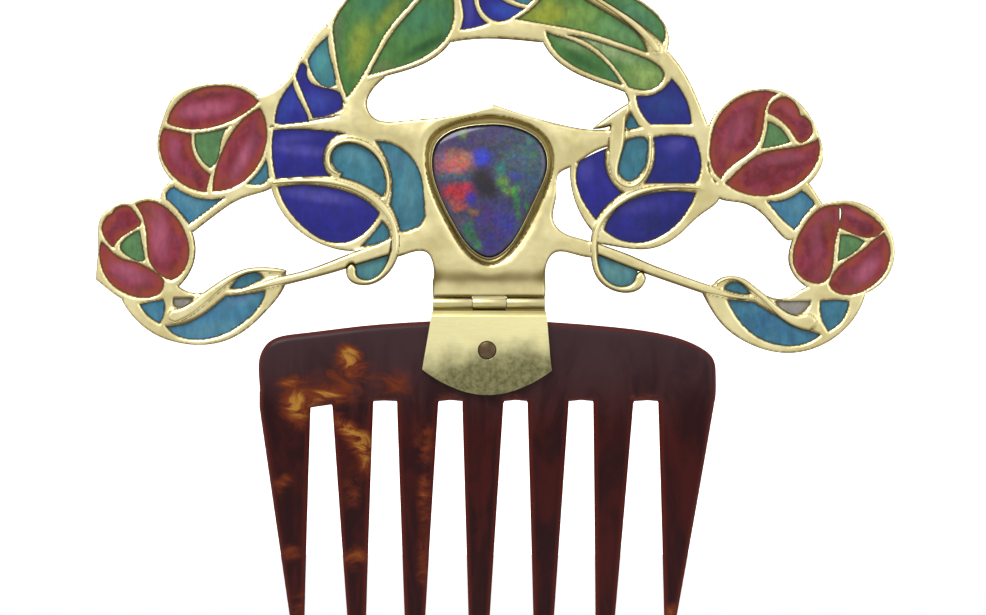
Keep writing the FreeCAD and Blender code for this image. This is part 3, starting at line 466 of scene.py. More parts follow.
def sheet_gold_material(name, bright, dull, painted_shade, low, high):
    """Rubbed sheet gold, darker and mottled towards the shield's point, with painted shade from one height
    to another.
    """
    look = Shader(name, Metallic=1.0)
    place_in = look.node("ShaderNodeSeparateXYZ")
    look.link(look.node("ShaderNodeTexCoord").outputs["Object"], place_in.inputs["Vector"])
    height, across = place_in.outputs["Z"], place_in.outputs["X"]
    scratch = look.noise(1.6, 6, stretch=(2.2, 1, 0.4), roughness=0.7, distortion=0.6)
    colour = look.mix(look.span(scratch, 0.36, 0.66, 0.0, 0.6), bright, dull)
    # Darker and mottled towards the shield's point; the darkening reaches higher on the right.
    darkening_height = look.math("ADD", height, look.span(look.noise(5.0, 3), 0.3, 0.7, -1.2 * MM, 1.2 * MM))
    darkening_height = look.math("SUBTRACT", darkening_height, look.math("MULTIPLY", across, 0.12))
    speckle = look.span(look.noise(0.9, 6, roughness=0.7), 0.35, 0.65)
    mottle = look.mix(speckle, srgb(86, 84, 52), srgb(134, 130, 90))
    colour = look.mix(look.span(darkening_height, 4.0 * MM, 11.0 * MM, 0.94, 0.0), colour, mottle)
    # Painted shade: darkened from the height low to the height high.
    colour = look.mix(look.span(height, low * MM, high * MM, 0.0, 0.7), colour, painted_shade)
    look.link(colour, look.surface.inputs["Base Color"])
    look.link(look.span(scratch, 0.3, 0.7, 0.30, 0.44), look.surface.inputs["Roughness"])
    look.bump(scratch, 0.008)
    return look.material


def plain_material(name, colour, roughness, metallic):
    """One colour with slight wear."""
    look = Shader(name, Metallic=metallic, Roughness=roughness)
    worn = look.span(look.noise(0.6, 4), 0.35, 0.7)
    look.link(look.mix(worn, colour, tuple(v * 0.7 for v in colour)), look.surface.inputs["Base Color"])
    return look.material


# ---------------------------------------------------------------- gold

GOLD = gold_material()
# Each one's last colour and two heights are painted shade: under the knuckles on the saddle, and over the
# knuckles' lower half.
SADDLE_GOLD = sheet_gold_material("rubbed_gold", srgb(246, 238, 180), srgb(224, 212, 154),
                                  srgb(140, 130, 76), 13.3, 14.1)
HINGE_GOLD = sheet_gold_material("hinge_gold", srgb(204, 194, 148), srgb(172, 160, 114),
                                 srgb(92, 80, 36), 15.25, 14.75)
WIDE = Window((-67, 5), (69, 74), CELL)
EDGE_HEIGHT, EDGE_ROUND, EDGE_REACH = 0.52, 0.42, 0.45      # sheet gold at its border, and how it rounds
SWELL, SWELL_REACH, SWELL_BLUR = 0.55, 1.3, 0.7      # how broad sheet gold rises away from its border
HAMMER, HAMMER_SIZE = 0.035, 2.3
RIDGE, RIDGE_OUT, RIDGE_REACH = 0.16, 1.1, 0.7       # the ridge round the stone's setting
FILLET, FILLET_REACH = 0.15, 0.25        # how sheet gold rises to a wire's foot
HOLLOW_REACH = 0.9                       # how far round a point its surroundings are averaged
WIRE_SIDE, WIRE_ROUND, WIRE_CROWN, CROWN_REACH = 0.78, 0.62, 0.12, 1.3
BACK_ROUND, WIRE_BACK_ROUND = 0.3, 0.4
COLLET_FOOT, COLLET_LIP, COLLET_REACH = 0.62, 0.66, 0.2
# The cove's floor, its rise and reach, and the strength of its painted shade.
COVE_FLOOR, COVE_RISE, COVE_REACH, COVE_SHADE = 0.36, 0.62, 0.33, 0.17
STEM_ROOT = 18.5                         # nearer the middle than this a stem runs under its scroll's wire
TAB_HALF, TAB_TOP, TAB_DEPTH = 10.5, 22.0, 0.42      # the tab under the stone is dished to the hinge
# Painted shade in a band across the tab: its middle height, its reach and its strength.
DISH_MIDDLE, DISH_REACH, DISH_SHADE = 19.6, 1.9, 0.17


def gold_cover():
    """Where gold is, and the edges of the nodes' outlines that lie on its border."""
    fine = Window((-67, 5), (69, 74), MASK_CELL)
    cover = np.zeros((fine.nz, fine.nx), dtype=bool)
    edges = []
    for node in FRAMES + WIRES:
        segments = outline(node)
        edges.append(segments)
        part = fine.around(node, 0.2)
        fine.cut(cover, part)[...] |= inside(segments, part)
    edges = np.concatenate(edges)
    run = edges[:, 1] - edges[:, 0]
    across = np.stack([-run[:, 1], run[:, 0]], axis=1) / np.linalg.norm(run, axis=1)[:, None] * SEAM_PROBE
    both = np.ones(len(edges), dtype=bool)
    for side in (across, -across):
        spot = np.round((edges.mean(axis=1) + side) / MASK_CELL).astype(int) - (fine.i, fine.j)
        both &= cover[spot[:, 1], spot[:, 0]]
    step = int(round(CELL / MASK_CELL))
    j, i = WIDE.j * step - fine.j, WIDE.i * step - fine.i
    rows, columns = j + step * np.arange(WIDE.nz), i + step * np.arange(WIDE.nx)
    return cover[np.ix_(np.clip(rows, 0, fine.nz - 1), np.clip(columns, 0, fine.nx - 1))], edges[~both]


def gold_fields():
    """The gold's border distance, its height to the front, and its painted shade: how deep it lies below
    its surroundings, plus a band across the tab's dish.
    """
    cover, edges = gold_cover()
    border = distance(edges, WIDE)
    border = np.where(cover, border, -border)
    broad = blur_in(1 - np.exp(-np.maximum(border, 0) / SWELL_REACH), cover, SWELL_BLUR / CELL)
    x, z = WIDE.x[None, :], WIDE.z[:, None]
    height = EDGE_HEIGHT + EDGE_ROUND * dome(border / EDGE_REACH) + SWELL * broad
    height = height + HAMMER * ripple(x, z, HAMMER_SIZE) * broad
    setting = WIDE.around("opal_seat", 3)
    from_setting = distance(outline("opal_seat"), setting)
    WIDE.cut(height, setting)[...] += RIDGE * np.exp(-((from_setting - RIDGE_OUT) / RIDGE_REACH) ** 2)
    in_tab = np.clip((TAB_HALF - np.abs(x)) / 1.5, 0, 1) * np.clip((TAB_TOP - z) / 3, 0, 1)
    height -= TAB_DEPTH * in_tab * in_tab * (3 - 2 * in_tab)
    wire = np.full(cover.shape, -REACH)
    for node in WIRES:
        part = WIDE.around(node, 2)
        np.maximum(WIDE.cut(wire, part), signed(outline(node), part, 2.0), out=WIDE.cut(wire, part))
    height += FILLET * np.exp(np.minimum(wire, 0) / FILLET_REACH)
    height = blur_in(height, cover, 0.6)
    whole = np.where(wire > 0, forged(wire), height)
    # Painted shade: the more the gold lies below its surroundings, the darker it is painted.
    hollow_shade = blur_in(whole, cover, HOLLOW_REACH / CELL) - whole
    # Painted shade across the tab's dish.
    dish_shade = np.exp(-((z - DISH_MIDDLE) / DISH_REACH) ** 2) * np.clip(TAB_HALF - np.abs(x), 0, 1)
    hollow_shade += DISH_SHADE * dish_shade
    return border, height, hollow_shade


def forged(field):
    """The height of a round forged wire, from the distance to its edge."""
    return WIRE_SIDE + WIRE_ROUND * dome(field / WIRE_ROUND) + WIRE_CROWN * dome(field / CROWN_REACH)


BORDER, HEIGHT, HOLLOW_SHADE = gold_fields()


def gold_slab(node):
    """A gold node's piece: a frame from the shared fields, or a wire, which is rounded by itself."""
    win = WIDE.around(node, 0.6)
    field = signed(outline(node), win, 1.5)
    border = WIDE.cut(BORDER, win)
    at_border = np.clip(1.6 - np.abs(border) / 0.12, 0, 1)
    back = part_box(node)[1].y / MM
    if node in WIRES:
        shape, free = field, np.ones_like(field)
        if node.endswith("_stem"):
            root = np.broadcast_to(np.abs(win.x) < STEM_ROOT, field.shape)
            shape, free = np.where(root, border, field), np.where(root, at_border, free)
        height = forged(shape)
        back = back - 0.35 * (1 - dome(field / WIRE_BACK_ROUND))
    else:
        shape, free, height = border, at_border, WIDE.cut(HEIGHT, win)
        back = back - 0.18 * (1 - dome(border / BACK_ROUND))
    # The extras carry the painted shade in recesses and the distance from the edge by which the borders are
    # browned, partly stain and partly painted shade.
    piece = slab(node + "_look", field, win, -height, back, free,
                 extras={"hollow_shade": WIDE.cut(HOLLOW_SHADE, win), "rim": np.maximum(shape, 0)})
    place(piece, node, GOLD)


def collet():
    """The thin wall that holds the stone: a burnished lip that falls away outwards."""
    win = WIDE.around("opal_collet", 1)
    field = signed(outline("opal_collet"), win, 1.0)
    stone = distance(outline("opal"), win)
    front = -(COLLET_FOOT + COLLET_LIP * np.exp(-(stone / COLLET_REACH) ** 2))
    back = np.full_like(field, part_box("opal_collet")[1].y / MM)
    piece = slab("opal_collet_look", field, win, front, back, np.ones_like(field),
                 extras={"hollow_shade": 0 * field + 0.02, "rim": 0 * field + 1})
    place(piece, "opal_collet", GOLD)


def cove():
    """The seat under the stone, which rises as a concave moulding to the plate around it; its gold carries
    an even painted shade.
    """
    win = WIDE.around("opal_seat", 1)
    field = signed(outline("opal_seat"), win, 1.5)
    climb = COVE_FLOOR + COVE_RISE * np.exp(-np.maximum(field, 0) / COVE_REACH)
    back = np.full_like(field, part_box("opal_seat")[1].y / MM)
    # The cove's gold is evenly darkened as painted shade.
    piece = slab("opal_seat_look", field, win, -climb, back, 0 * field,
                 extras={"hollow_shade": COVE_SHADE + 0 * field, "rim": 0 * field + 1})
    place(piece, "opal_seat", GOLD)


# ---------------------------------------------------------------- enamel

def blend_tones(x, z, base, accents):
    """A base colour with softer patches over it: (x, z, reach across, reach up, turn, colour, strength)."""
    tone = np.tile(np.array(glass(*base)), (len(x), 1))
    for cx, cz, across, up, turn, colour, strength in accents:
        c, s = math.cos(math.radians(turn)), math.sin(math.radians(turn))
        u = ((x - cx) * c + (z - cz) * s) / across
        v = (-(x - cx) * s + (z - cz) * c) / up
        share = (strength * np.exp(-(u ** 2 + v ** 2) ** 1.5))[:, None]
        tone = tone * (1 - share) + np.array(glass(*colour)) * share
    return tone


CRIMSON, ROSE, WINE, RUST = (146, 26, 44), (206, 108, 138), (92, 16, 30), (158, 80, 42)
SKY, NAVY, VIOLET = (44, 84, 200), (20, 14, 138), (98, 92, 196)
PALE_TEAL, DEEP_TEAL, LAKE = (116, 176, 186), (38, 104, 150), (72, 142, 186)
LIME, LEAF, MINT, FOREST, SEA = (186, 194, 52), (88, 148, 66), (132, 186, 120), (34, 88, 44), (62, 138, 106)

# Patches on the base colour of each enamel: (x, z, reach across, reach up, turn, colour, strength)
ACCENTS = {
    "lower_left_rosebud_petals": [
        (-52.2, 26.5, 1.7, 4.2, 8, ROSE, 0.75), (-53.6, 30.0, 1.0, 2.4, 30, RUST, 0.8),
        (-49.0, 20.4, 2.4, 1.3, 40, RUST, 0.6), (-57.0, 20.4, 3.6, 1.7, -25, ROSE, 0.7),
        (-54.0, 17.2, 3.5, 0.8, -5, RUST, 0.6), (-58.8, 27.0, 1.2, 1.8, -20, WINE, 0.6)],
    "upper_left_rosebud_petals": [
        (-44.8, 46.0, 4.6, 1.2, 8, ROSE, 0.8), (-43.5, 48.6, 5.0, 0.8, 5, WINE, 0.6),
        (-49.6, 44.4, 1.2, 1.6, 30, RUST, 0.5), (-38.6, 38.5, 1.1, 4.4, -28, ROSE, 0.75),
        (-36.4, 42.5, 0.8, 3.5, -10, WINE, 0.6), (-41.8, 34.6, 2.0, 0.9, 30, RUST, 0.5),
        (-49.6, 39.8, 1.0, 2.4, 10, ROSE, 0.5), (-46.6, 35.2, 1.8, 1.5, 40, WINE, 0.7)],
    "upper_right_rosebud_petals": [
        (44.0, 41.0, 7.5, 7.5, 0, (120, 18, 26), 0.85), (39.2, 43.0, 1.5, 3.4, -35, ROSE, 0.4),
        (38.0, 38.8, 3.6, 0.9, -25, RUST, 0.6), (41.6, 47.4, 2.0, 1.0, -10, RUST, 0.5),
        (46.5, 38.4, 3.6, 1.0, 5, ROSE, 0.45), (49.2, 36.2, 1.0, 2.6, 25, WINE, 0.6),
        (43.6, 34.2, 3.0, 1.0, -8, CRIMSON, 0.8), (47.4, 46.0, 2.0, 0.9, -40, ROSE, 0.4),
        (49.8, 43.0, 1.2, 1.2, 0, WINE, 0.6)],
    "lower_right_rosebud_petals": [
        (55.5, 23.5, 7.5, 7.5, 0, (120, 18, 26), 0.85), (51.6, 25.4, 1.0, 4.2, 0, ROSE, 0.35),
        (53.4, 28.5, 0.9, 2.6, 5, RUST, 0.7), (49.6, 27.5, 0.9, 2.0, -15, RUST, 0.7),
        (52.6, 20.2, 1.5, 1.2, 0, RUST, 0.5), (59.4, 20.4, 1.3, 3.0, -40, ROSE, 0.8),
        (57.0, 18.4, 2.2, 1.0, -10, RUST, 0.5), (57.8, 29.4, 2.2, 0.6, -15, ROSE, 0.4),
        (59.4, 27.6, 1.8, 0.8, -10, WINE, 0.5)],
    "left_leaf_enamel": [
        (-17.0, 64.5, 5.5, 2.4, 40, SEA, 0.8), (-20.6, 56.0, 1.6, 4.0, -12, LIME, 0.75),
        (-15.8, 60.8, 1.0, 4.0, -38, LIME, 0.6), (-23.8, 58.5, 0.8, 3.5, 0, (120, 128, 96), 0.7),
        (-10.5, 60.5, 4.0, 2.4, 40, SEA, 0.7), (-9.8, 56.2, 4.0, 0.8, 28, FOREST, 0.85),
        (-16.8, 53.0, 1.8, 0.8, 20, (130, 138, 84), 0.7), (-7.0, 60.4, 0.8, 3.0, 0, SEA, 0.6)],
    "upper_right_leaf_enamel": [
        (8.6, 61.4, 4.4, 2.4, -5, LIME, 0.95), (14.5, 60.5, 3.2, 2.8, 0, (150, 186, 84), 0.7),
        (20.5, 58.2, 4.0, 1.6, -25, MINT, 0.7), (23.5, 60.8, 4.5, 1.6, -38, (104, 166, 124), 0.8),
        (16.0, 66.0, 3.5, 1.2, -30, SEA, 0.5)],
    "lower_right_leaf_enamel": [
        (18.0, 55.8, 6.5, 1.4, -20, (186, 212, 146), 0.85),
        (24.6, 51.0, 3.6, 2.0, -5, (176, 206, 112), 0.9), (14.6, 53.9, 3.4, 1.1, -30, FOREST, 0.7),
        (12.6, 56.4, 3.0, 0.7, -25, (150, 180, 120), 0.5), (19.5, 51.2, 1.5, 1.0, -30, SEA, 0.5)],
    "left_lobe_blue_enamel": [
        (-29.6, 39.6, 4.6, 0.9, -6, VIOLET, 0.7), (-31.2, 41.4, 3.0, 0.7, 8, VIOLET, 0.4),
        (-29.0, 36.6, 4.5, 1.0, 0, NAVY, 0.5), (-27.0, 32.4, 5.5, 1.0, -8, VIOLET, 0.7),
        (-25.4, 27.2, 5.5, 2.0, 0, NAVY, 0.6)],
    "right_lobe_blue_enamel": [
        (29.4, 40.2, 1.8, 1.2, 20, VIOLET, 0.7), (24.0, 30.6, 4.6, 1.2, 0, VIOLET, 0.3),
        (26.0, 27.2, 6.0, 3.0, 20, (10, 22, 118), 0.95), (28.0, 36.6, 5.0, 3.0, 0, (12, 34, 132), 0.9),
        (15.2, 36.6, 1.4, 2.0, 0, VIOLET, 0.4)],
    "hoop_blue_enamel": [
        (-32.2, 46.4, 1.4, 3.2, -20, SKY, 0.6), (-27.6, 47.2, 3.0, 1.6, 0, (62, 84, 196), 0.7),
        (27.6, 46.6, 3.6, 2.4, 0, (22, 62, 136), 0.9), (3.0, 61.8, 2.8, 1.4, 0, SKY, 0.95),
        (-3.2, 62.4, 0.8, 3.4, 0, VIOLET, 0.5)],
    "left_lobe_turquoise_enamel": [
        (-12.6, 33.5, 1.2, 5.0, 0, PALE_TEAL, 0.4), (-21.0, 38.6, 2.4, 1.2, -30, PALE_TEAL, 0.4),
        (-15.6, 38.4, 2.6, 1.0, -30, (96, 140, 176), 0.6)],
    "hoop_turquoise_enamel": [
        (-26.0, 53.5, 1.4, 3.4, 0, (84, 170, 160), 0.8)],
    "left_branch_enamel": [
        (-48.0, 31.0, 8.0, 5.0, 0, LAKE, 0.8), (-46.5, 31.0, 3.0, 1.0, -20, PALE_TEAL, 0.4)],
    "right_branch_enamel": [
        (48.0, 31.0, 8.0, 5.0, 0, LAKE, 0.8), (48.5, 30.5, 1.6, 1.2, 0, PALE_TEAL, 0.4)],
    "left_crescent_turquoise_enamel": [
        (-45.0, 13.0, 9.0, 6.0, 0, LAKE, 0.9), (-44.0, 11.4, 5.0, 1.2, 8, PALE_TEAL, 0.45),
        (-39.5, 16.0, 3.0, 0.8, 10, (110, 140, 190), 0.5)],
    "right_crescent_turquoise_enamel": [
        (46.0, 13.0, 9.0, 6.0, 0, (58, 122, 166), 0.8), (43.0, 12.5, 3.6, 1.5, -20, DEEP_TEAL, 0.6)],
    "scroll_enamel": [
        (-18.4, 21.0, 3.0, 2.0, 0, (104, 172, 164), 0.8), (20.0, 20.2, 3.0, 2.0, 0, (112, 168, 158), 0.8)],
}
BASES = {
    "enamel_crimson": CRIMSON,
    "enamel_heart_green": (96, 146, 86),
    "enamel_leaf_green": LEAF,
    "enamel_blue": (30, 28, 150),
    "enamel_turquoise": (62, 136, 158),
    "enamel_clear": (178, 172, 160),
}
ENAMEL_LOOKS = {
    "enamel_crimson": enamel_material("crimson_enamel", glass(112, 62, 28), glass(176, 70, 104), 0.6,
                                      glow=glass(178, 74, 40)),
    "enamel_heart_green": enamel_material("heart_enamel", glass(60, 66, 34), glass(128, 178, 118), 0.5),
    "enamel_leaf_green": enamel_material("leaf_enamel", glass(66, 72, 34), glass(60, 118, 60), 0.45),
    "enamel_blue": enamel_material("blue_enamel", glass(24, 20, 60), glass(50, 50, 168), 0.4),
    "enamel_turquoise": enamel_material("turquoise_enamel", glass(36, 66, 66), glass(88, 162, 182), 0.5),
    "enamel_clear": enamel_material("clear_enamel", glass(110, 104, 88), glass(206, 202, 192), 0.4),
}


GLASS_LEVEL, GLASS_CLIMB, CLIMB_REACH = 0.46, 0.16, 0.28    # glass in its cell, and at the cell's wall
GLASS_SWELL, GLASS_RIPPLE, RIPPLE_SIZE = 0.13, 0.03, 1.4
GLASS_TUCK, SCROLL_TUCK = 0.05, 0.4      # how far glass runs under the gold beside it


def enamel(node):
    """The glass in a node's cells: it climbs the walls a little and swells in the middle."""
    win = WIDE.around(node, 0.6)
    field = signed(outline(node), win, 3.0) + (SCROLL_TUCK if node == "scroll_enamel" else GLASS_TUCK)
    swell = blur(np.clip(field, 0, 2.2), 2.0)
    x, z = win.x[None, :], win.z[:, None]
    climb = GLASS_CLIMB * np.exp(-np.maximum(field, 0) / CLIMB_REACH)
    front = -(GLASS_LEVEL + climb + GLASS_SWELL * swell + GLASS_RIPPLE * ripple(x, z, RIPPLE_SIZE))
    back = np.full_like(field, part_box(node)[1].y / MM)
    base, accents = BASES[SLOTS[node]], ACCENTS.get(node, [])
    piece = slab(node + "_look", field, win, front, back, 0 * field,
                 tone=lambda px, pz, edge: blend_tones(px, pz, base, accents))
    place(piece, node, ENAMEL_LOOKS[SLOTS[node]])


# ---------------------------------------------------------------- opal

# Patches of fire: (x, z, reach across, reach up, turn, colour, strength)
OPAL_FIRE = [
    (-6.9, 40.7, 2.8, 1.7, 0, (78, 72, 112), 0.8), (0.3, 42.1, 4.4, 1.4, 0, (88, 80, 122), 0.8),
    (5.6, 38.8, 3.8, 3.2, 0, (80, 116, 120), 0.8), (6.2, 34.9, 2.8, 2.2, 0, (64, 100, 130), 0.8),
    (0.2, 28.4, 2.6, 3.2, 0, (74, 56, 140), 0.85), (0.6, 24.6, 2.4, 2.0, 0, (58, 46, 140), 0.9),
    (3.0, 28.0, 1.6, 2.4, 20, (62, 60, 170), 0.8), (-5.6, 37.6, 3.1, 1.9, 0, (212, 120, 108), 0.95),
    (-3.6, 37.9, 1.0, 1.2, 0, (206, 136, 92), 0.7), (-1.2, 38.3, 1.5, 1.4, 0, (62, 76, 226), 0.95),
    (-5.2, 35.3, 3.2, 0.6, 0, (70, 108, 130), 0.9), (-5.0, 33.0, 2.5, 1.3, 0, (214, 44, 52), 0.97),
    (-3.6, 33.6, 1.1, 0.8, 0, (206, 62, 90), 0.7), (-1.2, 35.0, 1.9, 1.9, 0, (40, 32, 44), 0.95),
    (0.0, 33.3, 1.8, 1.6, 0, (36, 30, 40), 0.95), (1.7, 36.5, 0.9, 1.3, 0, (60, 140, 132), 0.9),
    (2.1, 34.7, 1.0, 1.1, 0, (104, 170, 70), 0.9), (3.4, 33.2, 1.4, 0.7, 10, (120, 176, 70), 0.8),
    (4.2, 35.6, 1.4, 0.6, 0, (70, 96, 190), 0.7), (4.4, 31.2, 0.5, 2.6, 8, (54, 146, 74), 0.85),
    (6.1, 30.6, 0.5, 1.6, 8, (50, 128, 70), 0.75), (-4.7, 30.8, 1.4, 0.8, -15, (214, 96, 62), 0.9),
    (-2.4, 29.8, 1.0, 0.5, 0, (170, 106, 66), 0.8), (-2.8, 31.9, 0.8, 1.1, 0, (44, 44, 190), 0.85),
    (-3.9, 28.3, 1.4, 0.9, 0, (106, 90, 126), 0.7), (-3.0, 26.7, 0.8, 1.7, 10, (40, 128, 76), 0.9),
    (-1.9, 24.7, 0.8, 0.9, 0, (58, 150, 78), 0.85), (-4.0, 42.2, 0.6, 0.9, 0, (116, 140, 86), 0.7),
    (6.4, 41.4, 0.9, 0.6, -20, (90, 150, 130), 0.6), (-7.6, 38.6, 0.8, 1.2, 0, (112, 92, 136), 0.6),
]


def opal_tone(x, z, edge):
    """Patches of fire with broken outlines, on a grey-violet ground."""
    wander_x = x + 0.30 * ripple(x, z, 0.55) + 0.16 * ripple(z, x, 0.21)
    wander_z = z + 0.30 * ripple(z + 9, x, 0.6) + 0.16 * ripple(x + 5, z, 0.23)
    return blend_tones(wander_x, wander_z, (74, 72, 104), OPAL_FIRE)


def opal():
    """The stone: a low dome with rounded shoulders."""
    low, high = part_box("opal")
    win = Window((-13, 19), (13, 47), FINE_CELL).around("opal", 1)
    field = signed(outline("opal"), win, 3.0) - 0.02
    middle = ((low + high) / 2) / MM
    x, z = win.x[None, :] - middle.x, win.z[:, None] - middle.z
    crest = low.y / MM
    front = crest + 0.05 + 0.75 * (x ** 2 + z ** 2) / 100 + 0.55 * (1 - dome(field / 1.6))
    back = np.full_like(field, high.y / MM)
    piece = slab("opal_look", field, win, front, back, np.ones_like(field), tone=opal_tone)
    place(piece, "opal", opal_material())


# ---------------------------------------------------------------- comb

# Patches of amber: (x, z, reach across, reach up, turn, strength)
AMBER_CLOUDS = [
    (-21.9, 6.9, 1.6, 1.9, 20, 1.1), (-22.5, 3.0, 6.5, 3.5, 0, 0.32), (-30.0, -0.8, 2.4, 2.8, 30, 1.0),
    (-26.0, 0.9, 2.6, 0.9, 0, 0.9), (-31.4, 3.2, 2.0, 0.8, 10, 0.5), (-22.4, -4.4, 2.6, 1.3, -38, 1.0),
    (-19.8, -6.6, 1.6, 1.9, 0, 1.15), (-19.3, -9.8, 1.0, 1.6, 0, 0.7), (-32.6, -12.9, 1.6, 1.3, 30, 0.6),
    (-10.0, -6.0, 1.8, 3.0, 0, 0.4), (-10.2, -15.0, 1.2, 5.0, 0, 0.45), (-10.4, -26.0, 1.2, 5.0, 0, 0.35),
    (-21.1, -24.7, 2.2, 1.8, 0, 0.6), (-31.2, -24.0, 1.8, 1.6, 0, 0.4), (-14.0, 3.0, 2.6, 2.0, 0, 0.3),
    (-6.2, 0.9, 2.0, 0.6, 0, 0.4), (24.4, 0.7, 2.4, 0.6, 0, 0.45), (28.8, -33.5, 1.6, 1.4, 0, 0.5),
    (3.6, 0.8, 2.0, 0.5, 0, 0.3), (-21.5, -14.0, 2.0, 4.0, 0, 0.3), (-30.0, -33.0, 1.5, 4.0, 0, 0.3),
]


def comb_depths(z):
    """The comb's front and back depth at a height, read from its CAD node."""
    mesh = frame["nodes"]["tortoiseshell_comb"].data
    found = []
    for way in (-1, 1):
        seen = {}
        for face in mesh.polygons:
            if face.normal.y * way > 0.9:
                for v in face.vertices:
                    place = mesh.vertices[v].co / MM
                    seen[round(place.z, 2)] = place.y
        heights = sorted(seen)
        found.append(np.interp(z, heights, [seen[h] for h in heights]))
    return found


def comb():
    """Spine and teeth with rounded edges."""
    node = "tortoiseshell_comb"
    win = Window((0, 0), (1, 1), COMB_CELL).around(node, 1)
    field = signed(outline(node), win, 3.0)
    front, back = (depth[:, None] for depth in comb_depths(win.z))
    middle, half = (front + back) / 2, (back - front) / 2
    fullness = 0.38 + 0.62 * dome(field / 1.5)
    x, z = np.meshgrid(win.x, win.z)
    amber = np.zeros_like(field)
    for cx, cz, across, up, turn, strength in AMBER_CLOUDS:
        c, s = math.cos(math.radians(turn)), math.sin(math.radians(turn))
        u, v = ((x - cx) * c + (z - cz) * s) / across, (-(x - cx) * s + (z - cz) * c) / up
        amber += strength * np.exp(-(u ** 2 + v ** 2))
    piece = slab("tortoiseshell_comb_look", field, win, middle - half * fullness, middle + half * fullness,
                 np.ones_like(field), extras={"amber": amber})
    place(piece, node, tortoiseshell_material())


# ---------------------------------------------------------------- hardware

HINGE_HEIGHT = 15.4
WASHER_RADIUS = 0.93
WASHERS = {"left_washer": (-2.72, -2.61), "right_washer": (2.71, 2.82)}
LEDGE_FRONT, LEDGE_BACK = 0.5, 0.88
LEDGES = {                               # name: node, (from x, from z), (to x, to z)
    "left_tab_lip": ("opal_plate", (-8.8, 16.4), (-2.7, 16.75)),
    "right_tab_lip": ("opal_plate", (2.8, 16.4), (8.8, 16.75)),
    "saddle_lip": ("comb_saddle", (-2.9, 14.1), (3.0, 14.43)),
}


def softened(node, material, width, segments=3):
    """A node's own shape with its edges rounded over."""
    mesh = frame["nodes"][node].data.copy()
    work = bmesh.new()
    work.from_mesh(mesh)
    bmesh.ops.remove_doubles(work, verts=work.verts, dist=2e-6)
    bmesh.ops.dissolve_limit(work, angle_limit=math.radians(2), verts=work.verts, edges=work.edges)
    work.to_mesh(mesh)
    work.free()
    piece = bpy.data.objects.new(node + "_look", mesh)
    bpy.context.collection.objects.link(piece)
    bevel = piece.modifiers.new("rounding", "BEVEL")
    bevel.width = width * MM
    bevel.segments = segments
    bevel.limit_method = "ANGLE"
    bevel.angle_limit = math.radians(35)
    bevel.harden_normals = True
    mesh.polygons.foreach_set("use_smooth", [True] * len(mesh.polygons))
    bpy.context.view_layer.update()
    made = bpy.data.meshes.new_from_object(piece.evaluated_get(bpy.context.evaluated_depsgraph_get()))
    piece.modifiers.clear()
    piece.data = made
    place(piece, node, material)


def ledge(name, node, low, high):
    """A plain bar behind a hinge line, so that no daylight shows through it; its dark colour is painted
    shade in the gap.
    """
    start, end = (low[0], LEDGE_FRONT, low[1]), (high[0], LEDGE_BACK, high[1])
    bpy.ops.mesh.primitive_cube_add(size=1, location=[(a + b) / 2 * MM for a, b in zip(start, end)])
    bar = bpy.context.object
    bar.name = name
    bar.data.transform(Matrix.Diagonal([(b - a) * MM for a, b in zip(start, end)] + [1]))
    place(bar, node, GRIME_AND_SHADE)


def washer(name, start, end):
    """The dark joint between two knuckles: a disc on the pin."""
    bpy.ops.mesh.primitive_cylinder_add(vertices=48, radius=WASHER_RADIUS * MM, depth=(end - start) * MM)
    disc = bpy.context.object
    disc.name = name
    turn = Matrix.Rotation(math.pi / 2, 4, "Y")
    disc.data.transform(Matrix.Translation(((start + end) / 2 * MM, 0, HINGE_HEIGHT * MM)) @ turn)
    place(disc, "hinge_pin", GRIME_AND_SHADE)


# ---------------------------------------------------------------- stage

def panel(name, size, location, aim):
    """A flat sheet that faces a point."""
    bpy.ops.mesh.primitive_plane_add(size=1, location=location)
    sheet = bpy.context.object
    sheet.name = name
    sheet.scale = (size[0], size[1], 1)
    sheet.rotation_euler = (Vector(aim) - Vector(location)).to_track_quat("Z", "Y").to_euler()
    return sheet


def softbox(name, location, size, power, colour=(1, 1, 1)):
    """An area light that faces the comb."""
    light = bpy.data.lights.new(name, "AREA")
    light.shape, light.size, light.size_y = "RECTANGLE", size[0], size[1]
    light.energy, light.color = power, colour
    lamp = bpy.data.objects.new(name, light)
    lamp.location = location
    lamp.rotation_euler = (Vector((0, 0, 0.02)) - Vector(location)).to_track_quat("-Z", "Y").to_euler()
    bpy.context.collection.objects.link(lamp)


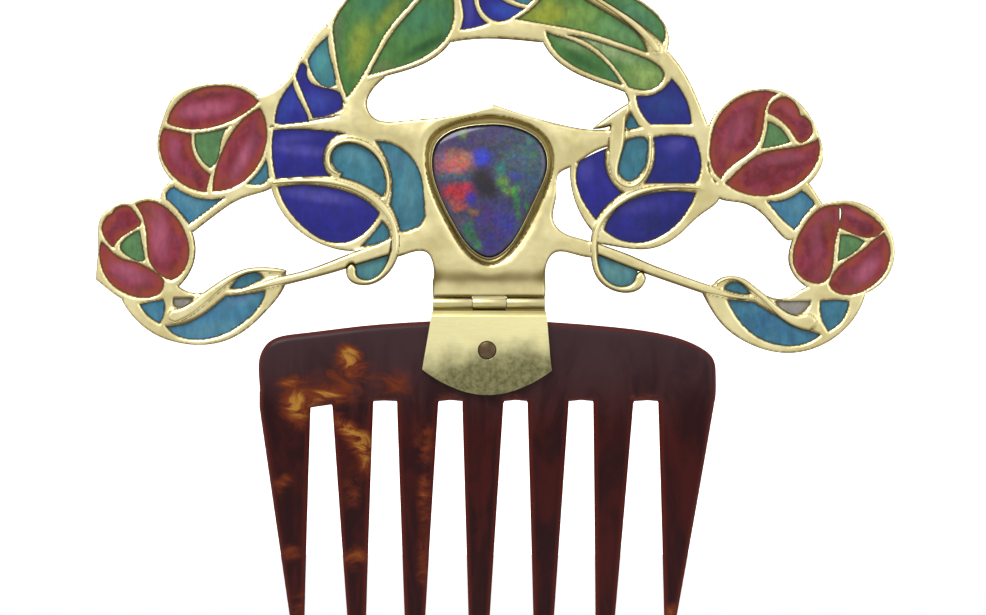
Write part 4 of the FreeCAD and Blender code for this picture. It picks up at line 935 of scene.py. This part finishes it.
def studio():
    """White paper behind, a pale floor, soft light from above and a sky that is dark below the horizon."""
    for name, middle, aim, glow in (("backdrop", (0, 2.5, 0.03), (0, -1, 0.03), 1.0),
                                    ("floor", (0, 0, -0.25), (0, 0, 1), 0.05)):
        sheet = panel(name, (8, 5), middle, aim)
        paper = Shader("white_" + name, Roughness=0.9, Base_Color=(0.75, 0.75, 0.75))
        paper.surface.inputs["Emission Color"].default_value = (1, 1, 1, 1)
        paper.surface.inputs["Emission Strength"].default_value = glow
        sheet.data.materials.append(paper.material)
    softbox("key", (-0.30, -0.50, 0.60), (0.45, 0.35), 4.2)
    softbox("fill", (0.55, -0.5, 0.20), (0.3, 0.5), 0.8)
    softbox("crown", (0.05, -0.10, 0.6), (0.7, 0.25), 0.5)
    world = bpy.data.worlds.new("studio")
    bpy.context.scene.world = world
    world.use_nodes = True
    nodes, links = world.node_tree.nodes, world.node_tree.links
    split = nodes.new("ShaderNodeSeparateXYZ")
    links.new(nodes.new("ShaderNodeTexCoord").outputs["Generated"], split.inputs["Vector"])
    ramp = nodes.new("ShaderNodeMapRange")
    ramp.interpolation_type = "SMOOTHSTEP"
    for index, value in enumerate((None, -0.62, 0.16, 0.05, 1.0)):
        if value is not None:
            ramp.inputs[index].default_value = value
    links.new(split.outputs["Z"], ramp.inputs[0])
    links.new(ramp.outputs["Result"], nodes["Background"].inputs["Color"])
    nodes["Background"].inputs["Strength"].default_value = 0.88


def camera():
    """A long lens straight in front, framed as the reference view."""
    middle_x, middle_z, width = 0.63 * MM, 14.8 * MM, 155.8 * MM
    lens = bpy.data.cameras.new("camera")
    lens.lens, lens.sensor_width, lens.clip_start = 100, 36, 0.01
    viewer = bpy.data.objects.new("camera", lens)
    viewer.location = (middle_x, -width * lens.lens / lens.sensor_width, middle_z)
    viewer.rotation_euler = (math.pi / 2, 0, 0)
    bpy.context.collection.objects.link(viewer)
    bpy.context.scene.camera = viewer
    bpy.context.scene.view_settings.view_transform = "Standard"


# ---------------------------------------------------------------- build

for each in FRAMES + WIRES:
    gold_slab(each)
collet()
cove()
for each in ENAMELS:
    enamel(each)
opal()
comb()
# Dark colour for the washers' joints, and painted shade on the ledges behind the hinge lines.
GRIME_AND_SHADE = plain_material("hinge_grime_and_shade", srgb(84, 70, 30), 0.6, 0.6)
softened("comb_saddle", SADDLE_GOLD, 0.28, 4)
for each in HARDWARE[1:]:
    softened(each, HINGE_GOLD, 0.04)
softened("saddle_rivet", plain_material("rivet_head", srgb(92, 74, 50), 0.4, 0.7), 0.1)
for each, (held_by, low, high) in LEDGES.items():
    ledge(each, held_by, low, high)
for each, (start, end) in WASHERS.items():
    washer(each, start, end)
studio()
camera()
